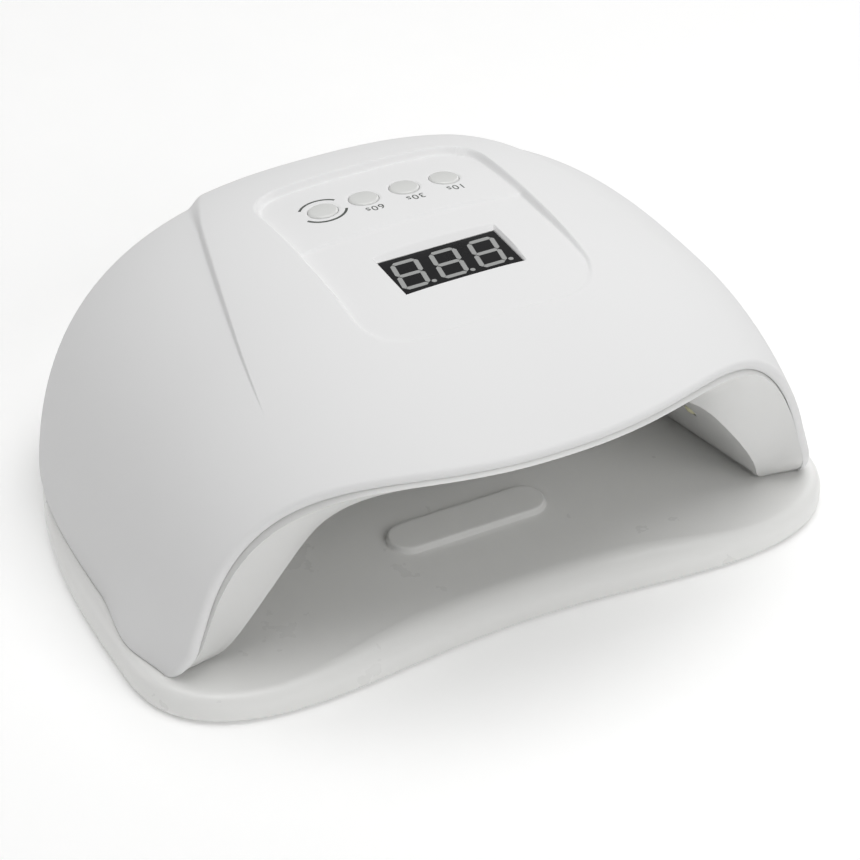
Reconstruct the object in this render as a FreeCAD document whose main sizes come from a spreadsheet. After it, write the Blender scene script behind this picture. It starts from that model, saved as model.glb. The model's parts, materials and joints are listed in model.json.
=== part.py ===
import FreeCAD, Part
import math
import os

# Table-top nail curing lamp: a domed housing with an open hand cavity, standing
# on a removable magnetic tray.  +X is to the user's right, +Y is to the back and
# +Z is up.  The origin is the bottom centre of the whole lamp, in millimetres.

Vector = FreeCAD.Vector
UP = Vector(0, 0, 1)

# alias, value, what the cell sets (millimetres unless the note says otherwise)
DIMENSIONS = (
    ("dome_half_width", 110.0, "half width of the housing at its widest section"),
    ("dome_back_y", 96.6, "rearmost point of the housing without its raised band"),
    ("dome_front_y", -114.0, "where the dome surface starts, ahead of the visor"),
    ("crown_y", -26.7, "y of the highest and widest section"),
    ("crown_z", 101.5, "height of the crown without the raised band"),
    ("section_z", -11.6, "height of the centre of every dome section"),
    ("section_power", 2.6, "superellipse power of the cross section, no unit"),
    ("plan_power", 3.12, "superellipse power of the rear plan outline, no unit"),
    ("profile_power", 2.69, "superellipse power of the rear side profile, no unit"),
    ("front_drop", 10.9, "fall of the crown 50 mm ahead of its highest section"),
    ("front_taper", 7.25, "loss of half width 50 mm ahead of the widest section"),
    ("band_rise", 2.2, "height of the raised centre band at the back"),
    ("band_front_y", -54.0, "where the band starts to rise"),
    ("band_full_y", 38.0, "where the band reaches its full height"),
    ("band_angle", 30.5, "band edge from the vertical at y = 0, degrees"),
    ("band_angle_slope", 0.122, "how fast the band narrows to the back, degrees per mm"),
    ("band_edge_angle", 1.4, "width of the band's edge step, degrees"),
    ("band_soft_y", 30.0, "where the band's edge step starts to widen"),
    ("band_soft_slope", 0.08, "how fast the edge step widens to the back, degrees per mm"),
    ("flare", 3.6, "how far the housing's foot stands out at the legs"),
    ("flare_start_y", -20.0, "where the flared foot starts"),
    ("flare_run", 28.0, "length over which the flare grows, towards the front"),
    ("flare_top_z", 34.0, "height at which the flare has run out"),
    ("corner_start_y", -44.0, "where the foot turns in again to round the front corner"),
    ("corner_run", 18.0, "length of the rounded front corner"),
    ("corner_depth", 1.8, "how far the front corner is turned in"),
    ("toe_y", -72.3, "front of the legs above their rounded toes"),
    ("toe_reach", 8.4, "how far a leg's toe is set back at its foot"),
    ("toe_height", 17.0, "height of a leg's rounded toe"),
    ("shell_wall", 2.6, "wall of the top shell"),
    ("leg_front_y", -71.4, "front edge of the two legs"),
    ("visor_reach", 29.1, "how far the visor stands out ahead of the legs"),
    ("visor_half_width", 109.3, "where the visor runs out into the legs"),
    ("visor_power", 2.43, "power of the visor's plan curve, no unit"),
    ("visor_blend", 2.45, "how softly the visor runs into the legs, no unit"),
    ("mouth_y", -70.0, "plane of the cavity mouth"),
    ("cavity_back_y", 70.5, "inner face of the cavity's back wall"),
    ("cavity_back_width", 0.70, "width of the cavity's back as a part of its mouth"),
    ("cavity_back_height", 0.88, "height of the cavity's back as a part of its mouth"),
    ("liner_wall", 2.0, "wall of the inner shell"),
    ("flange_wall", 3.0, "thickness of the front flange, front to back"),
    ("flange_set_back", 0.3, "how far the front flange sits behind the shell's lip"),
    ("fit_gap", 0.15, "gap between the two shells"),
    ("tray_half_width", 114.65, "half width of the tray"),
    ("tray_mid_y", -40.4, "y of the tray's widest section"),
    ("tray_front_depth", 50.6, "tray centre section to the front lobes"),
    ("tray_back_depth", 141.0, "tray centre section to the back edge"),
    ("tray_front_power", 3.4, "superellipse power of the tray's front, no unit"),
    ("tray_back_power", 2.6, "superellipse power of the tray's back, no unit"),
    ("tray_dip", 11.2, "how far the front edge is drawn back at its middle"),
    ("tray_bottom_z", 0.8, "underside of the tray, above its rubber feet"),
    ("tray_top_z", 9.6, "upper face of the tray, around its raised middle"),
    ("tray_crown_z", 12.8, "top of the tray's raised middle"),
    ("tray_wall", 2.6, "wall of the tray"),
    ("tray_top_round", 4.0, "radius of the tray's upper edge"),
    ("rim_roll_depth", 8.0, "depth of the rounded rim at the middle of the front"),
    ("rim_roll_drop", 7.0, "height of the rounded rim at the middle of the front"),
    ("crown_half_width", 87.0, "half width of the tray's raised middle at its foot"),
    ("crown_slope_width", 57.0, "width of the slope at each side of the raised middle"),
    ("crown_back_y", 60.0, "rear end of the tray's raised middle"),
    ("crown_slope_length", 80.0, "length of the slope behind the raised middle"),
    ("tray_bottom_round", 1.6, "radius of the tray's lower edge"),
    ("rest_length", 52.0, "length of the raised finger rest"),
    ("rest_width", 13.0, "width of the raised finger rest"),
    ("rest_height", 2.0, "height of the raised finger rest"),
    ("rest_y", -42.5, "y of the finger rest"),
    ("plate_thickness", 1.6, "bottom plate of the tray"),
    ("housing_bottom_z", 10.0, "underside of the housing"),
    ("rim_thickness", 2.2, "bottom rim of the inner shell"),
    ("panel_half_width", 37.5, "half width of the recessed control panel"),
    ("panel_front_y", -59.0, "front edge of the control panel"),
    ("panel_back_y", 30.0, "rear edge of the control panel"),
    ("panel_corner", 11.0, "corner radius of the control panel"),
    ("panel_depth", 0.35, "depth of the button shelf below the dome"),
    ("display_depth", 1.0, "depth of the display area below the dome"),
    ("ridge_y", -7.5, "step between the button shelf and the display area"),
    ("display_y", -31.7, "centre of the digit display"),
    ("display_width", 37.6, "width of the digit display"),
    ("display_length", 18.2, "front to back size of the digit display"),
    ("display_face_z", 99.0, "face of the digit display"),
    ("display_height", 8.0, "height of the digit display module"),
    ("window_gap", 0.25, "gap around the digit display"),
    ("digit_height", 14.2, "height of one digit"),
    ("digit_pitch", 12.4, "distance between digits"),
    ("digit_half_width", 3.7, "half width of one digit to its stroke centres"),
    ("digit_slant", 9.0, "slant of the digits, degrees"),
    ("segment_width", 1.45, "stroke width of a segment"),
    ("segment_depth", 0.8, "depth of a segment's light well"),
    ("segment_proud", 0.05, "how far a segment stands above the black face"),
    ("button_y", 10.5, "y of the button row"),
    ("button_pitch", 13.4, "distance between buttons"),
    ("button_radius", 4.5, "radius of a button cap"),
    ("button_gap", 0.3, "gap between a cap and its hole"),
    ("button_travel", 0.6, "travel of a button"),
    ("button_flange", 5.7, "radius of the flange that keeps a cap in"),
    ("board_top_z", 88.6, "upper face of the control board"),
    ("board_thickness", 1.6, "thickness of the control board"),
    ("board_width", 78.0, "width of the control board"),
    ("board_front_y", -50.0, "front edge of the control board"),
    ("board_back_y", 22.0, "rear edge of the control board"),
    ("switch_size", 6.0, "side of a push switch"),
    ("switch_height", 3.4, "height of a push switch"),
    ("led_board_length", 96.0, "length of an LED board"),
    ("led_board_thickness", 1.5, "thickness of an LED board"),
    ("led_board_y", -4.0, "y of the middle of the LED boards"),
    ("led_board_gap", 0.65, "gap between an LED board and the inner shell"),
    ("led_radius", 2.6, "radius of an LED lens"),
    ("led_proud", 0.5, "how far an LED lens looks into the cavity"),
    ("led_hole_radius", 2.9, "radius of an LED hole"),
    ("jack_z", 26.0, "height of the power inlet"),
    ("jack_face_y", 95.4, "rear face of the power inlet"),
    ("jack_depth", 15.0, "depth of the power inlet"),
    ("jack_neck", 7.0, "length of the power inlet's round collar"),
    ("jack_bore", 3.15, "radius of the power inlet's socket"),
    ("jack_collar", 5.4, "radius of the power inlet's collar"),
    ("screw_radius", 1.45, "radius of a screw shank"),
    ("screw_head_radius", 2.7, "radius of a screw head"),
    ("boss_radius", 3.5, "radius of a screw boss"),
    ("magnet_radius", 4.0, "radius of a holding magnet"),
    ("magnet_height", 3.0, "height of a holding magnet"),
)


def make_document():
    document = FreeCAD.newDocument("CuringLamp")
    table = document.addObject("Spreadsheet::Sheet", "Dimensions")
    for row, (alias, value, note) in enumerate(DIMENSIONS, start=1):
        table.set("A%d" % row, note)
        table.set("B%d" % row, str(value))
        table.setAlias("B%d" % row, alias)
    document.recompute()
    return document, table


doc, sheet = make_document()
nodes = {}


def dim(alias):
    """The value of one driving dimension, read from the sheet."""
    return float(sheet.get(alias))


# ---------------------------------------------------------------- helpers

def cell(expression):
    """Turn words that are sheet aliases into references to their cells."""
    words = []
    for word in expression.split(" "):
        words.append("Dimensions." + word if word in ALIASES else word)
    return " ".join(words)


ALIASES = {alias for alias, value, note in DIMENSIONS}
PLACES = {"X": "Placement.Base.x", "Y": "Placement.Base.y", "Z": "Placement.Base.z"}


def primitive(kind, name, **sizes):
    """A Part primitive whose sizes and place are bound to the sheet."""
    item = doc.addObject("Part::" + kind, name)
    for key, value in sizes.items():
        item.setExpression(PLACES.get(key, key), cell(str(value)))
    return item


def feature(name, shape):
    """A Part::Feature that holds a shape made with Part's own functions."""
    item = doc.addObject("Part::Feature", name)
    item.Shape = shape
    return item


def combine(kind, name, first, second):
    item = doc.addObject("Part::" + kind, name)
    item.Base = first
    item.Tool = second
    return item


def group(name, members):
    item = doc.addObject("Part::Compound", name)
    item.Links = members
    return item


def node(name, item):
    """Register an object as a sub-part; its label names its file."""
    item.Label = name
    nodes[name] = item
    return item


def upright(x, y, radius, z_low, z_high):
    return Part.makeCylinder(radius, z_high - z_low, Vector(x, y, z_low), UP)


def joined(shapes):
    """One shape from several, with its seams removed."""
    result = shapes[0].multiFuse(shapes[1:]) if len(shapes) > 1 else shapes[0]
    return result.removeSplitter()


def mirrored_pairs(places):
    return [(side * x, y) for x, y in places for side in (-1, 1)]


def flat_face(edges):
    return Part.Face(Part.Wire(Part.__sortEdges__(edges)))


def smooth_step(value):
    value = min(max(value, 0.0), 1.0)
    return value * value * (3.0 - 2.0 * value)


# ---------------------------------------------------------------- dome surface

def dome_section(y, inset):
    """Half width and height of the dome's section at y, above section_z."""
    half_width = dim("dome_half_width") - inset
    height = dim("crown_z") - inset - dim("section_z")
    if y <= dim("crown_y"):
        lead = ((dim("crown_y") - y) / 50.0) ** 2
        return half_width - dim("front_taper") * lead, height - dim("front_drop") * lead
    reach = dim("dome_back_y") - inset - dim("crown_y")
    part = min((y - dim("crown_y")) / reach, 1.0)
    plan = (1.0 - part ** dim("plan_power")) ** (1.0 / dim("plan_power"))
    profile = (1.0 - part ** dim("profile_power")) ** (1.0 / dim("profile_power"))
    return half_width * plan, height * profile


def dome_point(angle, y, inset):
    """Point of the dome at an angle from the vertical, positive to +X."""
    half_width, height = dome_section(y, inset)
    power = dim("section_power")
    across, rise = math.sin(angle), math.cos(angle)
    reach = (abs(across) ** power + abs(rise) ** power) ** (-1.0 / power)
    z = dim("section_z") + height * rise * reach
    low = (dim("flare_top_z") - z) / (dim("flare_top_z") - dim("housing_bottom_z"))
    flare = dim("flare") * smooth_step((dim("flare_start_y") - y) / dim("flare_run"))
    flare -= dim("corner_depth") * smooth_step((dim("corner_start_y") - y) / dim("corner_run"))
    return Vector(half_width * across * reach + math.copysign(flare * smooth_step(low), across), y, z)


def dome_normal(angle, y):
    """Outward direction of the dome, from the slopes of its sections."""
    step = 0.02
    along = dome_point(angle, y + step, 0.0) - dome_point(angle, y - step, 0.0)
    across = dome_point(angle + 0.001, y, 0.0) - dome_point(angle - 0.001, y, 0.0)
    return across.cross(along).normalize()


def band_angle(y):
    return math.radians(dim("band_angle") - dim("band_angle_slope") * y)


def band_step(y):
    """Angle covered by the step at the band's edge; it softens to the back."""
    return math.radians(dim("band_edge_angle") + dim("band_soft_slope") * max(y - dim("band_soft_y"), 0.0))


def band_offset(angle, point):
    """How far the raised centre band stands above the dome here."""
    run = (point.y - dim("band_front_y")) / (dim("band_full_y") - dim("band_front_y"))
    run = min(max(run, 0.0), 1.0)
    inside = smooth_step((band_angle(point.y) - abs(angle)) / band_step(point.y) + 0.5)
    base_fade = smooth_step((point.z - 1.0) / 9.0)
    return dim("band_rise") * run * (2.0 - run) * inside * base_fade


def dome_rows(inset):
    """Section places from front to back, closer where the back turns down."""
    crown, front = dim("crown_y"), dim("dome_front_y")
    reach = dim("dome_back_y") - inset - crown
    power = dim("profile_power")
    rows = [front + (crown - front) * i / 12.0 for i in range(12)]
    for degrees in range(0, 88, 3):
        turn = math.radians(degrees)
        size = (math.cos(turn) ** power + math.sin(turn) ** power) ** (-1.0 / power)
        rows.append(crown + reach * math.sin(turn) * size)
    return rows


def dome_angles(y, with_band):
    """Angles of one section's points; they gather at the edges of the band."""
    if with_band:
        edge = band_angle(y)
        step = band_step(y)
        half = [(edge - step) * i / 7.0 for i in range(8)]
        half += [edge + step * (i / 6.0 - 0.5) for i in range(7)]
        start = edge + 2.0 * step
        half += [start + (math.pi / 2.0 - start) * i / 9.0 for i in range(10)]
    else:
        half = [math.pi / 2.0 * i / 12.0 for i in range(13)]
    return [-angle for angle in reversed(half[1:])] + half


def skin_through(rows, row_cuts=(), column_cuts=()):
    """Smooth skin through rows of points, parted into patches at some of them.

    Returns its faces, its two end rims and its two side rims, as edge lists."""
    surface = Part.BSplineSurface()
    surface.interpolate(rows)
    first_u, last_u, first_v, last_v = surface.bounds()
    middle = len(rows[0]) // 2
    cuts_u = [surface.parameter(rows[i][middle])[0] for i in row_cuts]
    cuts_v = [surface.parameter(rows[len(rows) // 2][i])[1] for i in column_cuts]
    spans_u = list(zip([first_u] + cuts_u, cuts_u + [last_u]))
    spans_v = list(zip([first_v] + cuts_v, cuts_v + [last_v]))
    faces, ends, sides = [], [[], []], [[], []]
    for low_u, high_u in spans_u:
        for low_v, high_v in spans_v:
            patch = surface.copy()
            patch.segment(low_u, high_u, low_v, high_v)
            faces.append(patch.toShape())
            if low_u == first_u:
                ends[0].append(patch.uIso(patch.bounds()[0]).toShape())
            if high_u == last_u:
                ends[1].append(patch.uIso(patch.bounds()[1]).toShape())
            if low_v == first_v:
                sides[0].append(patch.vIso(patch.bounds()[2]).toShape())
            if high_v == last_v:
                sides[1].append(patch.vIso(patch.bounds()[3]).toShape())
    return faces, ends, sides


def sewn_solid(faces):
    shell = Part.makeShell(faces)
    shell.sewShape()
    solid = Part.makeSolid(shell)
    if solid.Volume < 0:
        solid.reverse()
    return solid


def dome_solid(inset, with_band=False):
    """Closed solid under the dome surface, flat at the front and below."""
    grid = []
    for y in dome_rows(inset):
        row = []
        for angle in dome_angles(y, with_band):
            point = dome_point(angle, y, inset)
            if with_band:
                point = point + dome_normal(angle, y) * band_offset(angle, point)
            row.append(point)
        grid.append(row)
    middle = len(grid[0]) // 2
    cuts = [middle]
    if with_band:
        cuts = [middle - 15, middle - 7, middle, middle + 7, middle + 15]
    skins, ends, sides = skin_through(grid, [12], cuts)
    front_line = Part.makeLine(grid[0][0], grid[0][-1])
    back_line = Part.makeLine(grid[-1][0], grid[-1][-1])
    front = flat_face(ends[0] + [front_line])
    back = flat_face(ends[1] + [back_line])
    bottom = flat_face(sides[0] + sides[1] + [front_line, back_line])
    return sewn_solid(skins + [front, back, bottom])


def dome_common(shape, inset):
    """The part of a shape that lies inside the dome."""
    return shape.common(dome_solid(inset))


# ---------------------------------------------------------------- visor, cavity and front flange

def visor_y(x):
    """Plan curve of the housing's front edge: straight legs and a visor."""
    run = min(abs(x) / dim("visor_half_width"), 1.0)
    bulge = (1.0 - run ** dim("visor_power")) ** dim("visor_blend")
    return dim("leg_front_y") - dim("visor_reach") * bulge


def toe_front(z):
    """How far forward a leg reaches at height z, above its foot."""
    run = min(max((z - dim("housing_bottom_z")) / dim("toe_height"), 0.0), 1.0)
    return dim("toe_y") + dim("toe_reach") * (1.0 - run) ** 2


def toe_cutter():
    """The space ahead of the legs' rounded toes."""
    low, high = dim("housing_bottom_z"), dim("housing_bottom_z") + dim("toe_height")
    points = [Vector(-150, toe_front(low + (high - low) * i / 8.0), low + (high - low) * i / 8.0)
              for i in range(9)]
    curve = Part.BSplineCurve()
    curve.interpolate(points)
    ahead = dim("toe_y") - 50.0
    corners = [points[-1], Vector(-150, ahead, high), Vector(-150, ahead, low - 5.0),
               Vector(-150, points[0].y, low - 5.0), points[0]]
    edges = [Part.makeLine(a, b) for a, b in zip(corners, corners[1:])]
    return flat_face([curve.toShape()] + edges).extrude(Vector(300, 0, 0))


def housing_plan():
    """Tall block whose front wall follows the legs, their toes and the visor."""
    half = dim("visor_half_width")
    curve = Part.BSplineCurve()
    curve.interpolate([Vector(half * i / 18.0, visor_y(half * i / 18.0), -50) for i in range(-18, 19)])
    side, back = 150.0, 150.0
    front_left = Vector(-half, dim("leg_front_y"), -50)
    front_right = Vector(half, dim("leg_front_y"), -50)
    corners = [front_right, Vector(side, dim("leg_front_y"), -50), Vector(side, back, -50),
               Vector(-side, back, -50), Vector(-side, dim("leg_front_y"), -50), front_left]
    edges = [Part.makeLine(a, b) for a, b in zip(corners, corners[1:])]
    return flat_face([curve.toShape()] + edges).extrude(Vector(0, 0, 250)).cut(toe_cutter())


def lip_point(angle, inset, set_back=0.0):
    """Point where the dome meets the housing's front edge, by iteration."""
    y = dim("leg_front_y")
    for step in range(60):
        point = dome_point(angle, y, inset)
        front = visor_y(point.x)
        if point.z < dim("housing_bottom_z") + dim("toe_height"):
            front = max(front, toe_front(point.z))
        y = 0.5 * (y + front + set_back)
    return dome_point(angle, y, inset)


ARCH = ((93.8, 0.0), (89.8, 0.3), (87.7, 9.6), (71.1, 33.0), (56.8, 49.4), (24.2, 51.6))


def arch_curve(y, wall=0.0, toe=False):
    """The cavity's arch at y: straight sloping sides and a rounded flat roof.

    At the mouth its feet are set back with the legs' toes."""
    run = (y - dim("mouth_y")) / (dim("cavity_back_y") - dim("mouth_y"))
    width = 1.0 - (1.0 - dim("cavity_back_width")) * run + wall / 88.0
    height = 1.0 - (1.0 - dim("cavity_back_height")) * run + wall / 51.4
    right = []
    for x, z in ARCH:
        point = Vector(x * width, y, dim("housing_bottom_z") + z * height)
        if toe:
            point.y += toe_front(point.z) - dim("toe_y")
        right.append(point)
    left = [Vector(-point.x, point.y, point.z) for point in right]
    curve = Part.BSplineCurve()
    curve.buildFromPoles(right + left[::-1], False, 3)
    return curve


def cavity_solid(front_y, back_y, wall=0.0):
    """The hand cavity between two planes, or the outside of its walls."""
    rings = []
    for y in (front_y, back_y):
        arch = arch_curve(y, wall).toShape()
        floor = Part.makeLine(arch.Vertexes[0].Point, arch.Vertexes[-1].Point)
        rings.append(Part.Wire(Part.__sortEdges__([arch, floor])))
    return Part.makeLoft(rings, True, True)


def arch_frame(place, y):
    """Point on the arch with its directions along, across and outward."""
    step = 0.01
    curve = arch_curve(y)
    point = curve.value(place)
    along = (arch_curve(y + step).value(place) - point).normalize()
    across = (curve.value(place + step) - curve.value(place - step)).normalize()
    outward = along.cross(across).normalize()
    if outward.z < 0:
        outward = outward * -1.0
    return point, along, outward.cross(along).normalize(), outward


def lip_rim(set_back):
    """Curve just inside the top shell, behind its lip, standing on the bottom plane."""
    inset = dim("shell_wall") + dim("fit_gap") + 0.1
    low, high = math.radians(60.0), math.radians(89.0)
    for step in range(50):
        middle = 0.5 * (low + high)
        if lip_point(middle, inset, set_back).z > dim("housing_bottom_z"):
            low = middle
        else:
            high = middle
    curve = Part.BSplineCurve()
    points = [lip_point(low * (1.0 - i / 30.0), inset, set_back) for i in range(61)]
    points[0].z = dim("housing_bottom_z")
    points[-1].z = dim("housing_bottom_z")
    curve.interpolate(points)
    return curve


def ends_of(curve):
    return [curve.value(curve.FirstParameter), curve.value(curve.LastParameter)]


def cavity_skin():
    """One solid: the flange from the lip to the cavity mouth, the walls and the back.

    Six curves bound it: the lip, the mouth and the back, inside and outside."""
    wall, back = dim("liner_wall"), dim("cavity_back_y")
    lip_in = lip_rim(dim("flange_set_back"))
    lip_out = lip_rim(dim("flange_set_back") + dim("flange_wall"))
    mouth_in = arch_curve(dim("mouth_y"), toe=True)
    mouth_out = arch_curve(dim("mouth_y") + 1.2, wall, toe=True)
    back_in, back_out = arch_curve(back), arch_curve(back + wall, wall)
    curves = [lip_in, mouth_in, back_in, back_out, mouth_out, lip_out]
    faces = []
    for first, last in ((0, 1), (1, 2), (3, 4), (4, 5), (5, 0)):
        faces.append(Part.makeRuledSurface(curves[first].toShape(), curves[last].toShape()))
    corner = [ends_of(curve) for curve in curves]
    for index in (2, 3):
        faces.append(flat_face([curves[index].toShape(), Part.makeLine(*corner[index])]))
    order = [(0, 0), (1, 0), (2, 0), (2, 1), (1, 1), (0, 1),
             (5, 1), (4, 1), (3, 1), (3, 0), (4, 0), (5, 0), (0, 0)]
    faces.append(Part.Face(Part.makePolygon([corner[index][end] for index, end in order])))
    return sewn_solid(faces)


# ---------------------------------------------------------------- tray

def tray_edge_point(turn):
    """Plan outline of the tray: two front lobes and a rounded back."""
    across, along = math.sin(turn), math.cos(turn)
    front = along < 0
    power = dim("tray_front_power") if front else dim("tray_back_power")
    depth = dim("tray_front_depth") if front else dim("tray_back_depth")
    size = (abs(across) ** power + abs(along) ** power) ** (-1.0 / power)
    x = dim("tray_half_width") * across * size
    y = dim("tray_mid_y") + depth * along * size
    if front:
        dip = 0.5 * (1.0 + math.cos(math.pi * x / dim("tray_half_width")))
        y += dim("tray_dip") * dip * min(abs(along) * size, 1.0)
    return Vector(x, y, 0)


def tray_row(station, side):
    """Half a ring of points from back to front; the station gives each one's inset and height."""
    row = []
    for i in range(49):
        turn = math.pi * i / 48.0
        edge = tray_edge_point(turn)
        inset, z = station(edge)
        direction = tray_edge_point(turn + 0.01) - tray_edge_point(turn - 0.01)
        point = edge + Vector(direction.y, -direction.x, 0).normalize() * inset
        x = 0.0 if i in (0, 48) else point.x
        row.append(Vector(side * x, point.y, z))
    return row


def ring_solid(make_rows):
    """Solid through rings of points made as two halves, flat below and above."""
    skins, low_ends, high_ends = [], [], []
    for side in (1, -1):
        faces, ends, sides = skin_through(make_rows(side))
        skins += faces
        low_ends += ends[0]
        high_ends += ends[1]
    return sewn_solid(skins + [flat_face(low_ends), flat_face(high_ends)])


def tray_block(inset, z_low, z_high):
    return ring_solid(lambda side: [tray_row(lambda edge: (inset, z), side) for z in (z_low, z_high)])


def crown_rise(point):
    """1 over the tray's raised middle, falling to 0 towards its sides and its back."""
    across = smooth_step((dim("crown_half_width") - abs(point.x)) / dim("crown_slope_width"))
    return across * smooth_step((dim("crown_back_y") - point.y) / dim("crown_slope_length"))


def tray_height(point):
    return dim("tray_top_z") + (dim("tray_crown_z") - dim("tray_top_z")) * crown_rise(point)


def rim_roll(turn):
    """Station on the rim's rounded upper edge, from upright (0) to flat (a quarter turn)."""
    def station(edge):
        rise, radius = crown_rise(edge), dim("tray_top_round")
        depth = radius + (dim("rim_roll_depth") - radius) * rise
        drop = radius + (dim("rim_roll_drop") - radius) * rise
        return depth * (1.0 - math.cos(turn)), tray_height(edge) - drop * (1.0 - math.sin(turn))
    return station


# rings inside the tray's outline, as parts of it: across, to the front, to the back
CROWN_FOOT = (0.66, 0.84, 0.60)
CROWN_TOP = (0.25, 0.40, 0.10)


def inner_row(parts, z, side):
    """Half a ring of points inside the tray's outline."""
    across, front, back = parts
    row = []
    for i in range(49):
        edge = tray_edge_point(math.pi * i / 48.0)
        along = edge.y - dim("tray_mid_y")
        x = 0.0 if i in (0, 48) else edge.x * across
        row.append(Vector(side * x, dim("tray_mid_y") + along * (front if along < 0 else back), z))
    return row


def tray_outside():
    """The tray's outside: lower edge, side, rounded upper edge and the slope to its raised middle."""
    bottom, low = dim("tray_bottom_z"), dim("tray_bottom_round")
    quarter = math.pi / 2.0

    def foot_station(turn):
        return lambda edge: (low * (1.0 - math.sin(turn)), bottom + low * (1.0 - math.cos(turn)))

    def make_rows(side):
        rows = [tray_row(foot_station(quarter * i / 4.0), side) for i in range(5)]
        rows += [tray_row(rim_roll(quarter * i / 7.0), side) for i in range(8)]
        rim, middle = rows[-1], inner_row(CROWN_TOP, dim("tray_crown_z"), side)
        for i in range(1, 13):
            row = [outer + (inner - outer) * (i / 12.0) for outer, inner in zip(rim, middle)]
            rows.append([Vector(point.x, point.y, tray_height(point)) for point in row])
        return rows

    return ring_solid(make_rows)


def tray_underside():
    """The hollow under the tray's raised middle, one wall thickness below it."""
    foot, crown = dim("tray_top_z") - dim("tray_wall") - 0.3, dim("tray_crown_z") - dim("tray_wall")

    def make_rows(side):
        rows = []
        for i in range(9):
            parts = [low + (high - low) * i / 8.0 for low, high in zip(CROWN_FOOT, CROWN_TOP)]
            rows.append(inner_row(parts, foot + (crown - foot) * smooth_step(i / 8.0), side))
        return rows

    return ring_solid(make_rows)


def finger_rest():
    """The raised stadium on the tray, with a softened upper edge."""
    radius = dim("rest_width") / 2.0
    reach = dim("rest_length") / 2.0 - radius
    foot = dim("tray_crown_z") - 1.0
    top = dim("tray_crown_z") + dim("rest_height")
    ends = [upright(x, dim("rest_y"), radius, foot, top) for x in (-reach, reach)]
    corner = Vector(-reach, dim("rest_y") - radius, foot)
    middle = Part.makeBox(2.0 * reach, 2.0 * radius, dim("rest_height") + 1.0, corner)
    rest = joined(ends + [middle])
    rims = [edge for edge in rest.Edges if edge.BoundBox.ZMin > top - 0.01]
    return rest.makeFillet(0.7, rims)


TRAY_SCREWS = mirrored_pairs([(70.0, -70.0), (62.0, 62.0)])
TRAY_FEET = mirrored_pairs([(88.0, -55.0), (58.0, 74.0)])
MAGNETS = mirrored_pairs([(97.0, -20.0), (88.0, 38.0)])


def make_tray():
    bottom, top = dim("tray_bottom_z"), dim("tray_top_z")
    hollow = tray_block(dim("tray_wall"), bottom - 1.0, top - dim("tray_wall"))
    tray = tray_outside().cut(hollow).cut(tray_underside())
    tray = joined([tray, finger_rest()])
    plate_top = bottom + dim("plate_thickness")
    bosses = [upright(x, y, dim("boss_radius"), plate_top, top - 1.5) for x, y in TRAY_SCREWS]
    pilots = [upright(x, y, dim("screw_radius"), plate_top - 1.0, plate_top + 5.6)
              for x, y in TRAY_SCREWS]
    return joined([tray] + bosses).cut(Part.makeCompound(pilots))


def make_tray_parts():
    bottom = dim("tray_bottom_z")
    node("base_tray", feature("BaseTray", make_tray()))
    plate = tray_block(dim("tray_wall") + 0.3, bottom, bottom + dim("plate_thickness"))
    cuts = []
    for x, y in TRAY_SCREWS:
        cuts.append(upright(x, y, dim("screw_radius") + 0.1, bottom - 1.0, bottom + 3.0))
        cuts.append(upright(x, y, dim("screw_head_radius") + 0.1, bottom - 1.0, bottom + 0.9))
    cuts += [upright(x, y, 7.0, bottom - 1.0, bottom + 0.9) for x, y in TRAY_FEET]
    node("tray_bottom_plate", feature("TrayBottomPlate", plate.cut(Part.makeCompound(cuts))))
    feet, magnets, screws = [], [], []
    for index, (x, y) in enumerate(TRAY_FEET):
        feet.append(primitive("Cylinder", "TrayFoot%d" % index, Radius=6.9, Height="tray_bottom_z + 0.9",
                              X=x, Y=y, Z=0))
    for index, (x, y) in enumerate(MAGNETS):
        magnets.append(primitive("Cylinder", "TrayMagnet%d" % index, Radius="magnet_radius",
                                 Height="magnet_height", X=x, Y=y,
                                 Z="tray_top_z - tray_wall - magnet_height"))
    for index, (x, y) in enumerate(TRAY_SCREWS):
        screws.append(screw("TrayScrew%d" % index, x, y, "tray_bottom_z + 0.1", 0.8, 5.4))
    node("tray_feet", group("TrayFeet", feet))
    node("tray_magnets", group("TrayMagnets", magnets))
    node("tray_screws", group("TrayScrews", screws))


def screw(name, x, y, low, head, length):
    """Countersunk-height screw seen from below, head down, shank up."""
    cap = primitive("Cylinder", name + "Head", Radius="screw_head_radius", Height=head, X=x, Y=y, Z=low)
    shank = primitive("Cylinder", name + "Shank", Radius="screw_radius", Height=length,
                      X=x, Y=y, Z="%s + %s" % (low, head))
    slot = primitive("Box", name + "Slot", Length="screw_head_radius", Width=0.7, Height=0.4,
                     X="%s - screw_head_radius / 2" % x, Y="%s - 0.35" % y, Z=low)
    return combine("Cut", name, combine("Fuse", name + "Body", cap, shank), slot)


# ---------------------------------------------------------------- top shell

SHELL_SCREWS = mirrored_pairs([(101.0, -38.0), (101.5, 8.0), (45.0, 86.5)])
BOARD_SCREWS = mirrored_pairs([(33.0, -44.0), (33.0, 16.0)])
HOUSING_FEET = mirrored_pairs([(100.4, -53.0), (84.0, 52.0)])
VENT_COUNT = 6
VENT_PITCH = 4.2


def button_places():
    return [(dim("button_pitch") * (index - 1.5), dim("button_y")) for index in range(4)]


def panel_prism():
    """Tall block over the recessed panel, with rounded corners."""
    half, corner = dim("panel_half_width"), dim("panel_corner")
    length = dim("panel_back_y") - dim("panel_front_y")
    block = Part.makeBox(2.0 * half, length, 60.0, Vector(-half, dim("panel_front_y"), 60.0))
    upright_edges = [edge for edge in block.Edges if edge.BoundBox.ZLength > 50.0]
    return block.makeFillet(corner, upright_edges)


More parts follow.
